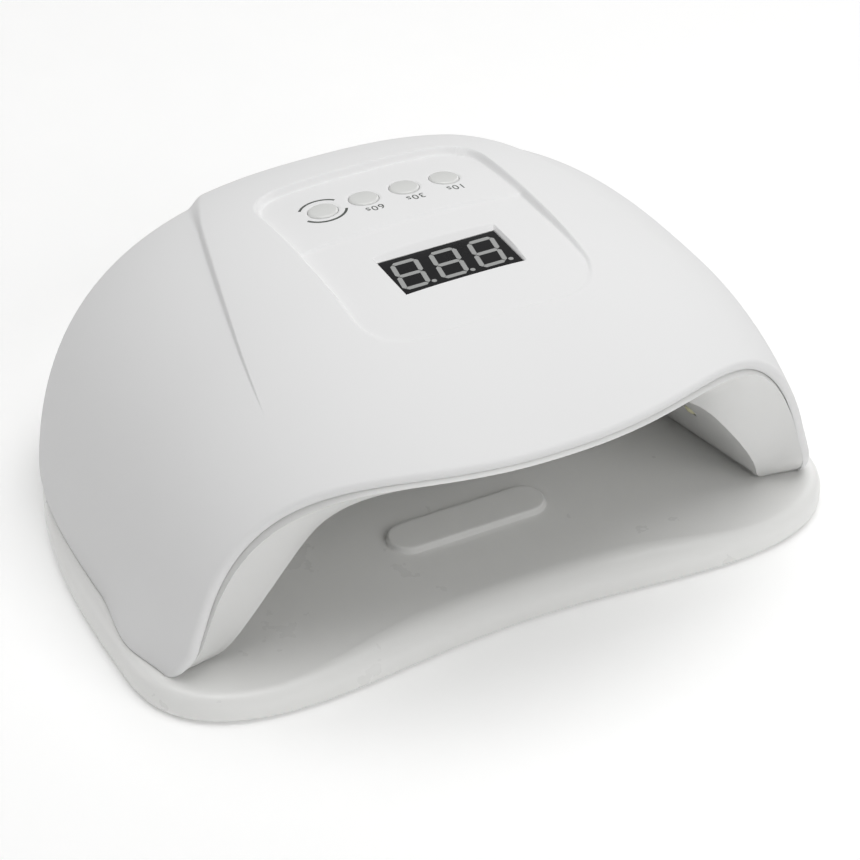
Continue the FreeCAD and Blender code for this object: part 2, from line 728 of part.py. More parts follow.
def panel_cutter():
    """Everything above the floor of the panel: the shelf, then the display area."""
    prism = panel_prism()
    shelf = prism.cut(dome_solid(dim("panel_depth")))
    front = Part.makeBox(100.0, 100.0, 100.0, Vector(-50.0, dim("ridge_y") - 100.0, 50.0))
    low = prism.common(front).cut(dome_solid(dim("display_depth")))
    return shelf.fuse(low)


def display_window():
    """Opening for the digits, with sloping walls that are deepest at the back."""
    gap = dim("window_gap")
    half_width = dim("display_width") / 2.0 + gap
    half_length = dim("display_length") / 2.0 + gap
    middle, face = dim("display_y"), dim("display_face_z")
    hole = Part.makeBox(2.0 * half_width, 2.0 * half_length, 30.0,
                        Vector(-half_width, middle - half_length, face - 20.0))
    slope = []
    for z, side, rear in ((face - 0.3, 0.0, 0.0), (face + 4.0, 3.0, 6.4)):
        left, right = -half_width - side, half_width + side
        low, high = middle - half_length - 0.1, middle + half_length + rear
        slope.append(Part.makePolygon([Vector(left, low, z), Vector(right, low, z), Vector(right, high, z),
                                       Vector(left, high, z), Vector(left, low, z)]))
    return hole.fuse(Part.makeLoft(slope, True, True))


def vent_slots():
    """Two groups of upright slots low on the back, beside the power inlet."""
    slots = []
    for side in (-1, 1):
        for index in range(VENT_COUNT):
            x = side * (20.0 + VENT_PITCH * index)
            slot = Part.makeBox(1.8, 60.0, 16.0, Vector(x - 0.9, 60.0, 22.0))
            slots.append(slot)
    return slots


def jack_cutter():
    """Round opening for the inlet's collar, with a flat land around it."""
    back = Vector(0, 1, 0)
    z, face = dim("jack_z"), dim("jack_face_y")
    hole = Part.makeCylinder(dim("jack_collar") + 0.15, 40.0, Vector(0, face - 20.0, z), back)
    land = Part.makeCylinder(dim("jack_collar") + 2.6, 20.0, Vector(0, face, z), back)
    return hole.fuse(land)


def make_top_shell():
    inside = dome_solid(dim("shell_wall"))
    trim = Part.makeBox(400.0, 400.0, 200.0, Vector(-200.0, -200.0, dim("housing_bottom_z")))
    outside = dome_solid(0.0, with_band=True).common(trim).common(housing_plan())
    skin = outside.cut(inside)
    bosses = []
    rim_top = dim("housing_bottom_z") + dim("rim_thickness")
    for x, y in SHELL_SCREWS:
        bosses.append(upright(x, y, dim("boss_radius"), rim_top, rim_top + 22.0))
    for x, y in BOARD_SCREWS:
        bosses.append(upright(x, y, 3.0, dim("board_top_z"), dim("board_top_z") + 12.0))
    bosses = [boss.common(dome_solid(1.0)) for boss in bosses]
    skin = joined([skin] + bosses)
    cuts = [panel_cutter(), display_window(), jack_cutter()] + vent_slots()
    for x, y in button_places():
        cuts.append(upright(x, y, dim("button_radius") + dim("button_gap"), 90.0, 110.0))
    for x, y in SHELL_SCREWS:
        cuts.append(upright(x, y, dim("screw_radius"), rim_top - 1.0, rim_top + 8.0))
    for x, y in BOARD_SCREWS:
        cuts.append(upright(x, y, 1.0, dim("board_top_z") - 1.0, dim("board_top_z") + 4.4))
    return skin.cut(Part.makeCompound(cuts))


# ---------------------------------------------------------------- LED boards

# name, place along the arch from right to left, width, LED columns (offsets across)
LED_BOARDS = (
    ("right_lower", 0.165, 20.0, (0.0,)),
    ("right_upper", 0.325, 15.0, (0.0,)),
    ("top", 0.5, 40.0, (-13.0, 13.0)),
    ("left_upper", 0.675, 15.0, (0.0,)),
    ("left_lower", 0.835, 20.0, (0.0,)),
)
LEDS_PER_COLUMN = 6


def board_frames():
    """Board name to its placement: X across, Y along, Z out of the cavity."""
    frames = {}
    for name, place, width, columns in LED_BOARDS:
        point, along, across, outward = arch_frame(place, dim("led_board_y"))
        turn = FreeCAD.Rotation(outward.cross(along) * -1.0, along, outward, "ZYX")
        frames[name] = FreeCAD.Placement(point, turn)
    return frames


def led_places(name):
    """LED positions on a board's own plane."""
    columns = [entry[3] for entry in LED_BOARDS if entry[0] == name][0]
    pitch = (dim("led_board_length") - 12.0) / (LEDS_PER_COLUMN - 1)
    places = []
    for x in columns:
        for index in range(LEDS_PER_COLUMN):
            places.append((x, pitch * (index - (LEDS_PER_COLUMN - 1) / 2.0)))
    return places


def board_screw_places(width):
    return [(0.0, side * (dim("led_board_length") / 2.0 - 14.5)) for side in (-1, 1)]


def board_inner_face():
    return dim("liner_wall") + dim("led_board_gap")


def make_led_parts():
    low = board_inner_face()
    high = low + dim("led_board_thickness")
    length = dim("led_board_length")
    frames = board_frames()
    screws = []
    for name, place, width, columns in LED_BOARDS:
        board = Part.makeBox(width, length, high - low, Vector(-width / 2.0, -length / 2.0, low))
        corners = [edge for edge in board.Edges if edge.Length < dim("led_board_thickness") + 0.01]
        board = board.makeFillet(2.0, corners)
        for x, y in board_screw_places(width):
            board = board.cut(upright(x, y, 1.2, low - 1.0, high + 1.0))
            head = upright(x, y, 2.0, high, high + 1.2)
            shank = upright(x, y, 1.0, low - 1.6, high)
            cross = Part.makeBox(2.6, 0.5, 0.5, Vector(x - 1.3, y - 0.25, high + 0.8))
            screws.append(head.fuse(shank).removeSplitter().cut(cross))
            screws[-1].Placement = frames[name]
        board_item = feature("LedBoard_" + name, board)
        board_item.Placement = frames[name]
        node("led_board_" + name, board_item)
        beads = [led_bead(x, y) for x, y in led_places(name)]
        leds = feature("LedBeads_" + name, Part.makeCompound(beads))
        leds.Placement = frames[name]
        node("led_beads_" + name, leds)
    node("led_board_screws", feature("LedBoardScrews", Part.makeCompound(screws)))


def led_bead(x, y):
    """One LED: a square base on the board and a round lens that points inward."""
    top, radius = board_inner_face(), dim("led_radius")
    tip = -dim("led_proud")
    base = Part.makeBox(5.0, 5.0, 0.4, Vector(x - 2.5, y - 2.5, top - 0.4))
    barrel = upright(x, y, radius, tip + 1.3, top - 0.4)
    ball_radius = (radius * radius + 1.3 * 1.3) / (2.0 * 1.3)
    ball = Part.makeSphere(ball_radius, Vector(x, y, tip + ball_radius))
    dome = ball.common(upright(x, y, radius, tip - 1.0, tip + 1.3))
    return joined([base, barrel, dome])


# ---------------------------------------------------------------- inner shell

def make_inner_shell():
    bottom = dim("housing_bottom_z")
    mouth, back = dim("mouth_y"), dim("cavity_back_y")
    wall = dim("liner_wall")
    room = dome_solid(dim("shell_wall") + dim("fit_gap"))
    liner = cavity_skin()
    heel = mouth + dim("toe_reach") + 0.5
    rim = Part.makeBox(400.0, 400.0, dim("rim_thickness"), Vector(-200.0, heel, bottom))
    rim = rim.common(room).cut(cavity_solid(mouth - 20.0, back + wall / 2.0, wall / 2.0))
    shell = liner.fuse(rim)
    cuts = []
    frames = board_frames()
    for name, place, width, columns in LED_BOARDS:
        holes = [upright(x, y, dim("led_hole_radius"), -4.0, 8.0) for x, y in led_places(name)]
        holes += [upright(x, y, 1.0, board_inner_face() - 1.6, 8.0) for x, y in board_screw_places(width)]
        for hole in holes:
            hole.Placement = frames[name]
        cuts += holes
    for x, y in SHELL_SCREWS:
        cuts.append(upright(x, y, dim("screw_radius") + 0.15, bottom - 1.0, bottom + 4.0))
        cuts.append(upright(x, y, dim("screw_head_radius") + 0.15, bottom - 1.0, bottom + 1.2))
    for x, y in HOUSING_FEET:
        cuts.append(upright(x, y, 4.0, bottom - 1.0, bottom + 0.8))
    for x in (-8.0, 8.0):
        cuts.append(Part.makeCylinder(2.6, 10.0, Vector(x, back - 2.0, 46.0), Vector(0, 1, 0)))
    return shell.cut(Part.makeCompound(cuts))


# ---------------------------------------------------------------- display, board and buttons

SEGMENTS = ("top", "upper_left", "upper_right", "middle", "lower_left", "lower_right", "bottom")


def segment_bar(start, end, z_low, z_high):
    """One segment: a bar with pointed ends, shortened to leave a gap at its corners."""
    line = end - start
    along = Vector(line).normalize()
    aside = Vector(-along.y, along.x, 0) * (dim("segment_width") / 2.0)
    tip = dim("segment_width") / 2.0
    gap = 0.14
    first, last = start + along * gap, end - along * gap
    outline = [first, first + along * tip + aside, last - along * tip + aside,
               last, last - along * tip - aside, first + along * tip - aside, first]
    face = Part.Face(Part.makePolygon([Vector(p.x, p.y, z_low) for p in outline]))
    return face.extrude(Vector(0, 0, z_high - z_low))


def digit_segments(x, z_low, z_high):
    """The seven segments and the point of one slanted digit."""
    half_width = dim("digit_half_width")
    half_height = (dim("digit_height") - dim("segment_width")) / 2.0
    lean = math.tan(math.radians(dim("digit_slant")))
    middle = dim("display_y")

    def corner(side, level):
        rise = level * half_height
        return Vector(x + side * half_width + lean * rise, middle + rise, 0)

    ends = {
        "top": ((-1, 1), (1, 1)), "middle": ((-1, 0), (1, 0)), "bottom": ((-1, -1), (1, -1)),
        "upper_left": ((-1, 0), (-1, 1)), "upper_right": ((1, 0), (1, 1)),
        "lower_left": ((-1, -1), (-1, 0)), "lower_right": ((1, -1), (1, 0)),
    }
    bars = []
    for name in SEGMENTS:
        bars.append(segment_bar(corner(*ends[name][0]), corner(*ends[name][1]), z_low, z_high))
    point = corner(1, -1) + Vector(1.75, 0.1, 0)
    bars.append(upright(point.x, point.y, 0.75, z_low, z_high))
    return bars


def make_display():
    face, height = dim("display_face_z"), dim("display_height")
    width, length = dim("display_width"), dim("display_length")
    block = primitive("Box", "DisplayBlock", Length="display_width", Width="display_length",
                      Height="display_height", X="- display_width / 2",
                      Y="display_y - display_length / 2", Z="display_face_z - display_height")
    wells = []
    for index in (-1, 0, 1):
        x = index * dim("digit_pitch") - 0.7
        wells += digit_segments(x, face - dim("segment_depth"), face + dim("segment_proud"))
    segments = feature("DisplaySegments", Part.makeCompound(wells))
    node("display_segments", segments)
    node("display_housing", combine("Cut", "DisplayHousing", block, segments))
    pins = []
    for row in (-1, 1):
        for index in range(6):
            pins.append(primitive("Box", "Pin%d_%d" % (row + 1, index), Length=0.5, Width=0.5,
                                  Height="display_face_z - display_height - board_top_z + 2.4",
                                  X="%s * 2.54 - 0.25" % (index - 2.5),
                                  Y="display_y + %s * 7.62 - 0.25" % row, Z="board_top_z - 2.4"))
    node("display_pins", group("DisplayPins", pins))
    return pins


def make_control_board(pins):
    blank = primitive("Box", "BoardBlank", Length="board_width", Width="board_back_y - board_front_y",
                      Height="board_thickness", X="- board_width / 2", Y="board_front_y",
                      Z="board_top_z - board_thickness")
    holes = []
    for index, (x, y) in enumerate(BOARD_SCREWS):
        holes.append(primitive("Cylinder", "BoardHole%d" % index, Radius=1.2, Height=6, X=x, Y=y,
                               Z="board_top_z - 4"))
    drilled = combine("Cut", "BoardDrilled", blank, group("BoardHoles", holes))
    node("control_board", combine("Cut", "ControlBoard", drilled, nodes["display_pins"]))
    screws = []
    for index, (x, y) in enumerate(BOARD_SCREWS):
        head = primitive("Cylinder", "BoardScrewHead%d" % index, Radius=2.0, Height=1.3, X=x, Y=y,
                         Z="board_top_z - board_thickness - 1.3")
        shank = primitive("Cylinder", "BoardScrewShank%d" % index, Radius=1.0, Height=5.8, X=x, Y=y,
                          Z="board_top_z - board_thickness")
        slot = primitive("Box", "BoardScrewSlot%d" % index, Length=2.6, Width=0.5, Height=0.5,
                         X=x - 1.3, Y=y - 0.25, Z="board_top_z - board_thickness - 1.3")
        body = combine("Fuse", "BoardScrewBody%d" % index, head, shank)
        screws.append(combine("Cut", "BoardScrew%d" % index, body, slot))
    node("board_screws", group("BoardScrews", screws))


# name, x, y, length, width, height of the parts under the board
BOARD_CHIPS = (
    ("Controller", -8.0, 2.0, 13.0, 8.0, 2.2),
    ("Driver0", -24.0, -20.0, 6.0, 5.0, 1.7),
    ("Driver1", -24.0, -8.0, 6.0, 5.0, 1.7),
    ("Driver2", -24.0, 4.0, 6.0, 5.0, 1.7),
)
BOARD_PLUGS = ((24.0, 12.0, 12.0), (24.0, 2.0, 10.0), (24.0, -8.0, 10.0), (24.0, -18.0, 10.0))


def make_board_components():
    under = "board_top_z - board_thickness"
    chips = []
    for name, x, y, length, width, height in BOARD_CHIPS:
        chips.append(primitive("Box", name, Length=length, Width=width, Height=height,
                               X=x - length / 2.0, Y=y - width / 2.0, Z="%s - %s" % (under, height)))
    node("board_chips", group("BoardChips", chips))
    cans = []
    for index, (x, y) in enumerate(((26.0, -36.0), (26.0, -46.0))):
        cans.append(primitive("Cylinder", "Capacitor%d" % index, Radius=4.0, Height=9.0, X=x, Y=y,
                              Z="%s - 9" % under))
    node("board_capacitors", group("BoardCapacitors", cans))
    coil = primitive("Cylinder", "InductorCore", Radius=5.5, Height=6.0, X=8.0, Y=-16.0,
                     Z="%s - 6" % under)
    bore = primitive("Cylinder", "InductorBore", Radius=2.2, Height=5.0, X=8.0, Y=-16.0,
                     Z="%s - 6" % under)
    node("board_inductor", combine("Cut", "BoardInductor", coil, bore))
    plugs = []
    for index, (x, y, length) in enumerate(BOARD_PLUGS):
        plugs.append(primitive("Box", "Plug%d" % index, Length=length, Width=5.8, Height=7.0,
                               X=x - length / 2.0, Y=y - 2.9, Z="%s - 7" % under))
    node("board_connectors", group("BoardConnectors", plugs))


BUTTON_NAMES = ("low_heat", "60", "30", "10")


def make_buttons():
    cap_low = dim("board_top_z") + dim("switch_height") + 1.6
    switches = []
    for index, (x, y) in enumerate(button_places()):
        name = BUTTON_NAMES[index]
        post = upright(x, y, dim("button_radius"), cap_low, 110.0)
        post = dome_common(post, 0.0)
        flange = upright(x, y, dim("button_flange"), cap_low, cap_low + 0.9)
        node("button_cap_" + name, feature("ButtonCap%d" % index, joined([post, flange])))
        plunger = primitive("Cylinder", "Plunger%d" % index, Radius=1.6,
                            Height="1.6 + 1.2", X="button_pitch * %s" % (index - 1.5), Y="button_y",
                            Z="board_top_z + switch_height - 1.2")
        node("switch_plunger_" + name, plunger)
        case = primitive("Box", "SwitchCase%d" % index, Length="switch_size", Width="switch_size",
                         Height="switch_height", X="button_pitch * %s - switch_size / 2" % (index - 1.5),
                         Y="button_y - switch_size / 2", Z="board_top_z")
        well = primitive("Cylinder", "SwitchWell%d" % index, Radius=1.7, Height=4,
                         X="button_pitch * %s" % (index - 1.5), Y="button_y",
                         Z="board_top_z + switch_height - 2.2")
        switches.append(combine("Cut", "Switch%d" % index, case, well))
    node("push_switches", group("PushSwitches", switches))


# ---------------------------------------------------------------- sensor, inlet and small parts

def make_sensor():
    back = dim("cavity_back_y") + dim("liner_wall")
    along = Vector(0, 1, 0)
    board = Part.makeBox(30.0, 1.6, 14.0, Vector(-15.0, back + 2.0, 39.0))
    node("sensor_board", feature("SensorBoard", board))
    for name, x in (("emitter", -8.0), ("receiver", 8.0)):
        centre = Vector(x, dim("cavity_back_y"), 46.0)
        barrel = Part.makeCylinder(2.4, back + 2.0 - centre.y, centre, along)
        front = Part.makeBox(10.0, 10.0, 10.0, centre - Vector(5.0, 1.2, 5.0))
        tip = Part.makeSphere(2.4, centre).common(front)
        node("sensor_" + name, feature("Sensor_" + name, joined([barrel, tip])))


def make_inlet():
    back = Vector(0, 1, 0)
    z, face, depth = dim("jack_z"), dim("jack_face_y"), dim("jack_depth")
    neck = dim("jack_neck")
    body = Part.makeBox(14.0, depth - neck, 11.0, Vector(-7.0, face - depth, z - 5.5))
    collar = Part.makeCylinder(dim("jack_collar"), neck, Vector(0, face - neck, z), back)
    bore = Part.makeCylinder(dim("jack_bore"), depth - 3.0, Vector(0, face - depth + 3.0, z), back)
    node("power_inlet", feature("PowerInlet", joined([body, collar]).cut(bore)))
    pin = Part.makeCylinder(1.05, depth - 4.0, Vector(0, face - depth + 3.0, z), back)
    tip = [edge for edge in pin.Edges if edge.BoundBox.YMin > face - 1.2]
    node("power_inlet_pin", feature("PowerInletPin", pin.makeFillet(0.5, tip)))


def make_housing_fasteners():
    screws, feet, magnets = [], [], []
    for index, (x, y) in enumerate(SHELL_SCREWS):
        screws.append(screw("ShellScrew%d" % index, x, y, "housing_bottom_z + 0.2", 1.0, 8.0))
    for index, (x, y) in enumerate(HOUSING_FEET):
        feet.append(primitive("Cylinder", "HousingFoot%d" % index, Radius=3.9,
                              Height="housing_bottom_z - tray_top_z + 0.75", X=x, Y=y,
                              Z="tray_top_z + 0.05"))
    for index, (x, y) in enumerate(MAGNETS):
        magnets.append(primitive("Cylinder", "HousingMagnet%d" % index, Radius="magnet_radius",
                                 Height="magnet_height", X=x, Y=y, Z="housing_bottom_z + rim_thickness"))
    node("shell_screws", group("ShellScrews", screws))
    node("housing_feet", group("HousingFeet", feet))
    node("housing_magnets", group("HousingMagnets", magnets))


# ---------------------------------------------------------------- assembly

def check_objects():
    """Stop unless every object has recomputed and every sub-part is sound."""
    for item in doc.Objects:
        bad = [state for state in item.State if state in ("Invalid", "Error")]
        if bad:
            raise RuntimeError("%s is %s" % (item.Name, bad))
    for name, item in nodes.items():
        shape = item.Shape
        if shape.isNull() or not shape.isValid():
            raise RuntimeError("sub-part %s has no sound shape" % name)
        print("%-24s solids %2d  volume %9.1f" % (name, len(shape.Solids), shape.Volume))


def write_nodes():
    os.makedirs("parts", exist_ok=True)
    for name, item in nodes.items():
        item.Shape.exportStep("parts/%s.step" % name)


make_tray_parts()
node("top_shell", feature("TopShell", make_top_shell()))
node("inner_shell", feature("InnerShell", make_inner_shell()))
make_led_parts()
make_control_board(make_display())
make_board_components()
make_buttons()
make_sensor()
make_inlet()
make_housing_fasteners()
doc.recompute()
check_objects()
write_nodes()
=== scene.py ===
import json
import math

import bmesh
import bpy
import numpy as np
from mathutils import Matrix, Vector


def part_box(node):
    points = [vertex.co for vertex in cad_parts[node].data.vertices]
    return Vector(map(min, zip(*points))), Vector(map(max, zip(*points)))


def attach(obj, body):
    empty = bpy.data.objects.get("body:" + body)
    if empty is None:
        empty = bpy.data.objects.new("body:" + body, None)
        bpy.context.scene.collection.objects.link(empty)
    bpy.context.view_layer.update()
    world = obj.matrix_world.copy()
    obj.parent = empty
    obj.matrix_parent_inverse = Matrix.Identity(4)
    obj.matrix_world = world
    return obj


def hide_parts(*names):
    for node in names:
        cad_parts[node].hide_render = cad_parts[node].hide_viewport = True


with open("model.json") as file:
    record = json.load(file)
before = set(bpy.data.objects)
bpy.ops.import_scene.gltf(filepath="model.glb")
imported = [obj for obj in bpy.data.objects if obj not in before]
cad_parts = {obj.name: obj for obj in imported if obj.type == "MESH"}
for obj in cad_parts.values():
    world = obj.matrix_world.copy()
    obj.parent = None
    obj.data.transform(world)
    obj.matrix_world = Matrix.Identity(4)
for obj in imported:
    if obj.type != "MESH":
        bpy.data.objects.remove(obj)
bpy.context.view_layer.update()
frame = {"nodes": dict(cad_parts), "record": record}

# Nail curing lamp.  Shapes are worked out in millimetres, in the CAD frame, from the
# same formulas as the CAD; meshes are written in metres.
MM = 0.001

# ---------------------------------------------------------------- dome formulas

DOME_HALF, DOME_BACK, CROWN_Y, CROWN_Z, SECTION_Z = 110.0, 96.6, -26.7, 101.5, -11.6
POWER, PLAN_POWER, PROFILE_POWER = 2.6, 3.12, 2.69
FRONT_TAPER, FRONT_DROP = 7.25, 10.9
BOTTOM_Z, WALL = 10.0, 2.6
BAND_RISE, BAND_FRONT, BAND_FULL = 2.2, -54.0, 38.0
BAND_ANGLE, BAND_SLOPE = 30.5, 0.122
FLARE, FLARE_START, FLARE_RUN, FLARE_TOP = 3.6, -20.0, 28.0, 34.0
TURN_IN, TURN_START, TURN_RUN = 1.8, -44.0, 18.0
TOE_Y, TOE_REACH, TOE_HEIGHT = -72.3, 8.4, 17.0


def smooth(value):
    value = np.clip(value, 0.0, 1.0)
    return value * value * (3.0 - 2.0 * value)


def section(y, inset=0.0):
    """Half width and height above SECTION_Z of the dome's section at y."""
    half, height = DOME_HALF - inset, CROWN_Z - inset - SECTION_Z
    lead = ((CROWN_Y - y) / 50.0) ** 2
    part = np.clip((y - CROWN_Y) / (DOME_BACK - inset - CROWN_Y), 0.0, 1.0)
    plan = (1.0 - part ** PLAN_POWER) ** (1.0 / PLAN_POWER)
    profile = (1.0 - part ** PROFILE_POWER) ** (1.0 / PROFILE_POWER)
    ahead = y <= CROWN_Y
    return (np.where(ahead, half - FRONT_TAPER * lead, half * plan),
            np.where(ahead, height - FRONT_DROP * lead, height * profile))


def on_dome(angle, y, inset=0.0):
    half, height = section(y, inset)
    across, rise = np.sin(angle), np.cos(angle)
    reach = (np.abs(across) ** POWER + np.abs(rise) ** POWER) ** (-1.0 / POWER)
    z = SECTION_Z + height * rise * reach
    flare = FLARE * smooth((FLARE_START - y) / FLARE_RUN) - TURN_IN * smooth((TURN_START - y) / TURN_RUN)
    flare = flare * smooth((FLARE_TOP - z) / (FLARE_TOP - BOTTOM_Z))
    return np.stack([half * across * reach + np.sign(across) * flare, y + 0.0 * across, z], axis=-1)


def dome_normal(angle, y):
    step = 0.02
    along = on_dome(angle, y + step) - on_dome(angle, y - step)
    across = on_dome(angle + 0.001, y) - on_dome(angle - 0.001, y)
    out = np.cross(across, along)
    return out / np.maximum(np.linalg.norm(out, axis=-1, keepdims=True), 1e-9)


def dome_z(x, y, inset=0.0):
    half, height = section(y, inset)
    ratio = np.clip(np.abs(x) / half, 0.0, 1.0)
    return SECTION_Z + height * (1.0 - ratio ** POWER) ** (1.0 / POWER)


def angle_at(x, y):
    """Angle from the vertical where the dome's section at y has half width x."""
    ratio = np.clip(np.abs(x) / section(y)[0], 0.0, 0.9999) ** POWER
    return np.arctan((ratio / (1.0 - ratio)) ** (1.0 / POWER))


def angle_at_height(z, y, inset=0.0):
    """Angle from the vertical where the dome's section at y comes down to z."""
    ratio = np.clip((z - SECTION_Z) / np.maximum(section(y, inset)[1], 1e-6), 0.0, 1.0) ** POWER
    return np.arctan(((1.0 - ratio) / ratio) ** (1.0 / POWER))


def band_edge(y):
    return np.radians(BAND_ANGLE - BAND_SLOPE * y)


def band_rise(y):
    run = np.clip((y - BAND_FRONT) / (BAND_FULL - BAND_FRONT), 0.0, 1.0)
    return BAND_RISE * run * (2.0 - run)


def band_width(y):
    """Angle that the band's edge step covers; it narrows as the step fades out."""
    return np.radians(0.22 + 0.45 * band_rise(y) + 0.08 * np.maximum(y - 30.0, 0.0))


def banded(angle, y):
    """Point on the outside of the shell, raised centre band included."""
    inside = smooth((band_edge(y) - np.abs(angle)) / band_width(y) + 0.5)
    return on_dome(angle, y) + dome_normal(angle, y) * (band_rise(y) * inside)[..., None]


# ---------------------------------------------------------------- meshes and smooth shading

def piece(name, points, faces, body, slot, replaces=()):
    mesh = bpy.data.meshes.new(name)
    mesh.from_pydata((np.asarray(points) * MM).tolist(), [], faces)
    mesh.validate()
    thing = bpy.data.objects.new(name, mesh)
    bpy.context.scene.collection.objects.link(thing)
    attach(thing, body)
    if replaces:
        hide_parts(*replaces)
    return thing


def quads(rows, columns, wrap=False):
    """Faces of a grid of points, closed round its rows if wrap is set."""
    count = columns if wrap else columns - 1
    first = np.arange(rows - 1)[:, None] * columns
    across = np.arange(count)[None, :]
    index, right = first + across, first + (across + 1) % columns
    return np.stack([index, right, right + columns, index + columns], axis=-1).reshape(-1, 4)


def ring_faces(rows, count):
    """Faces of a stack of rings, with a cap on the first and on the last."""
    faces = quads(rows, count, wrap=True).tolist()
    faces.append(list(range(count))[::-1])
    faces.append(list(range((rows - 1) * count, rows * count)))
    return faces


def shade(thing, degrees):
    thing.data.polygons.foreach_set("use_smooth", [True] * len(thing.data.polygons))
    thing.data.set_sharp_from_angle(angle=math.radians(degrees))


# ---------------------------------------------------------------- top shell

PANEL_HALF, PANEL_FRONT, PANEL_BACK = 37.5, -59.0, 30.0
PANEL_CORNER_FRONT, PANEL_CORNER_BACK = 16.0, 12.0
SHELF_DEPTH, RIDGE_Y = 0.35, -7.5
BUTTON_Y, BUTTON_PITCH, CAP_RADIUS, HOLE_RADIUS = 10.5, 13.4, 4.55, 4.68
DISPLAY_Y, FACE_Z = -31.7, 99.0
WINDOW_HALF, WINDOW_REACH = 19.05, 9.35
ZONE_HALF = 40.0
LIP_RADIUS, LIP_DROP, LIP_WALL = 2.0, 2.3, 2.75
INLET_FACE, INLET_Z, INLET_RADIUS, INLET_LAND = 95.4, 26.0, 5.55, 8.0
VENT_COUNT, VENT_FIRST, VENT_PITCH, VENT_WIDTH, VENT_LOW, VENT_HIGH = 6, 20.0, 4.2, 1.8, 22.0, 38.0
BUTTONS = [((k - 1.5) * BUTTON_PITCH, BUTTON_Y) for k in range(4)]


def visor_y(x):
    run = np.minimum(np.abs(x) / 109.3, 1.0)
    return -71.4 - 29.1 * (1.0 - run ** 2.43) ** 2.45


def front_y(x, z):
    """Front edge of the housing: the visor's curve, set back in a leg's rounded toe."""
    run = (z - BOTTOM_Z) / TOE_HEIGHT
    toe = TOE_Y + TOE_REACH * (1.0 - np.clip(run, 0.0, 1.0)) ** 2
    return np.where(run < 1.0, np.maximum(visor_y(x), toe), visor_y(x))


def panel_edge(x, y):
    """Distance inside the panel's rounded outline, negative outside it."""
    middle, half = 0.5 * (PANEL_FRONT + PANEL_BACK), 0.5 * (PANEL_BACK - PANEL_FRONT)
    corner = np.where(y < middle, PANEL_CORNER_FRONT, PANEL_CORNER_BACK)
    across = np.abs(x) - (PANEL_HALF - corner)
    along = np.abs(y - middle) - (half - corner)
    out = np.hypot(np.maximum(across, 0.0), np.maximum(along, 0.0))
    return corner - out - np.minimum(np.maximum(across, along), 0.0)


def panel_floor(x, y):
    """Height of the panel's floor: the button shelf, and the lower display area."""
    front = 0.45 + 0.55 * smooth((y - PANEL_FRONT) / (RIDGE_Y - PANEL_FRONT))
    step = smooth((y - RIDGE_Y) / 1.3 + 0.5)
    floor = dome_z(x, y) - front - (SHELF_DEPTH - front) * step
    bevel_side = (np.abs(x) - WINDOW_HALF) * 1.35
    bevel_rear = (y - DISPLAY_Y - WINDOW_REACH) * 0.62
    bevel_front = (DISPLAY_Y - WINDOW_REACH - y) * 3.0
    bevel = FACE_Z + 0.05 + np.maximum(np.maximum(bevel_side, bevel_rear), bevel_front)
    floor = soft_min(floor, bevel, 0.12)
    for bx, by in BUTTONS:
        rim = np.hypot(x - bx, y - by) - HOLE_RADIUS
        floor = floor - 0.3 * (1.0 - smooth(np.maximum(rim, 0.0) / 0.5))
    return floor


def soft_min(a, b, blend):
    mix = np.clip(0.5 + 0.5 * (b - a) / blend, 0.0, 1.0)
    return b * (1.0 - mix) + a * mix - blend * mix * (1.0 - mix)


def shell_columns():
    """Half of the x places inside the panel zone, finer at edges and holes."""
    coarse = np.arange(0.0, ZONE_HALF + 0.01, 0.8)
    fine = [np.arange(centre - 5.6, centre + 5.61, 0.28) for centre in (6.7, 20.1)]
    bevel = np.arange(18.4, 21.4, 0.28)
    wall = np.arange(PANEL_HALF - 2.6, PANEL_HALF + 0.9, 0.25)
    places = np.unique(np.round(np.concatenate([coarse, bevel, wall] + fine), 3))
    keep = [places[0]]
    for place in places[1:]:
        if place - keep[-1] > 0.2:
            keep.append(place)
    return np.array(keep)


def shell_rows():
    """Row places behind the visor, finer at the panel's edges, ridge and holes."""
    spans = [(-62.0, -56.0, 0.3), (-56.0, -43.0, 0.9), (-43.0, -38.5, 0.28), (-38.5, -23.5, 0.9),
             (-23.5, -18.0, 0.28), (-18.0, -9.0, 0.8), (-9.0, -6.0, 0.2), (-6.0, 4.9, 0.8),
             (4.9, 16.1, 0.28), (16.1, 26.0, 0.8), (26.0, 31.5, 0.25), (31.5, 70.0, 1.3)]
    rows = [np.arange(start, stop - 0.3 * step, step) for start, stop, step in spans]
    last = back_end()
    turn = np.linspace(0.0, 0.5 * math.pi, 90)
    rows.append(70.0 + (last - 70.0) * np.sin(turn))
    return np.concatenate(rows)


def back_end():
    """The y where the dome's middle section comes down to the shell's bottom edge."""
    low, high = 60.0, DOME_BACK + BAND_RISE
    for _ in range(60):
        middle = 0.5 * (low + high)
        if section(np.array(middle))[1] > BOTTOM_Z - SECTION_Z:
            low = middle
        else:
            high = middle
    return low


def half_at_edge(y):
    y = np.asarray(y, dtype=float)
    return on_dome(band_edge(y), y)[..., 0]


def column_angles(kinds, places, y):
    """Angles of the grid columns at y: panel zone, band, band step and flank."""
    edge, width = band_edge(y), band_width(y)
    hinge = 34.0
    shrink = np.where(y > hinge, np.minimum(1.0, half_at_edge(y) / half_at_edge(hinge)), 1.0)
    inner = angle_at(ZONE_HALF * shrink, y)
    lowest = angle_at_height(BOTTOM_Z, y)
    start = edge + width
    angle = np.select([kinds == 0, kinds == 1, kinds == 2],
                      [angle_at(places * shrink, y),
                       inner + (edge - width - inner) * places,
                       edge + width * places],
                      start + (np.maximum(lowest, start) - start) * places)
    return np.minimum(angle, lowest)


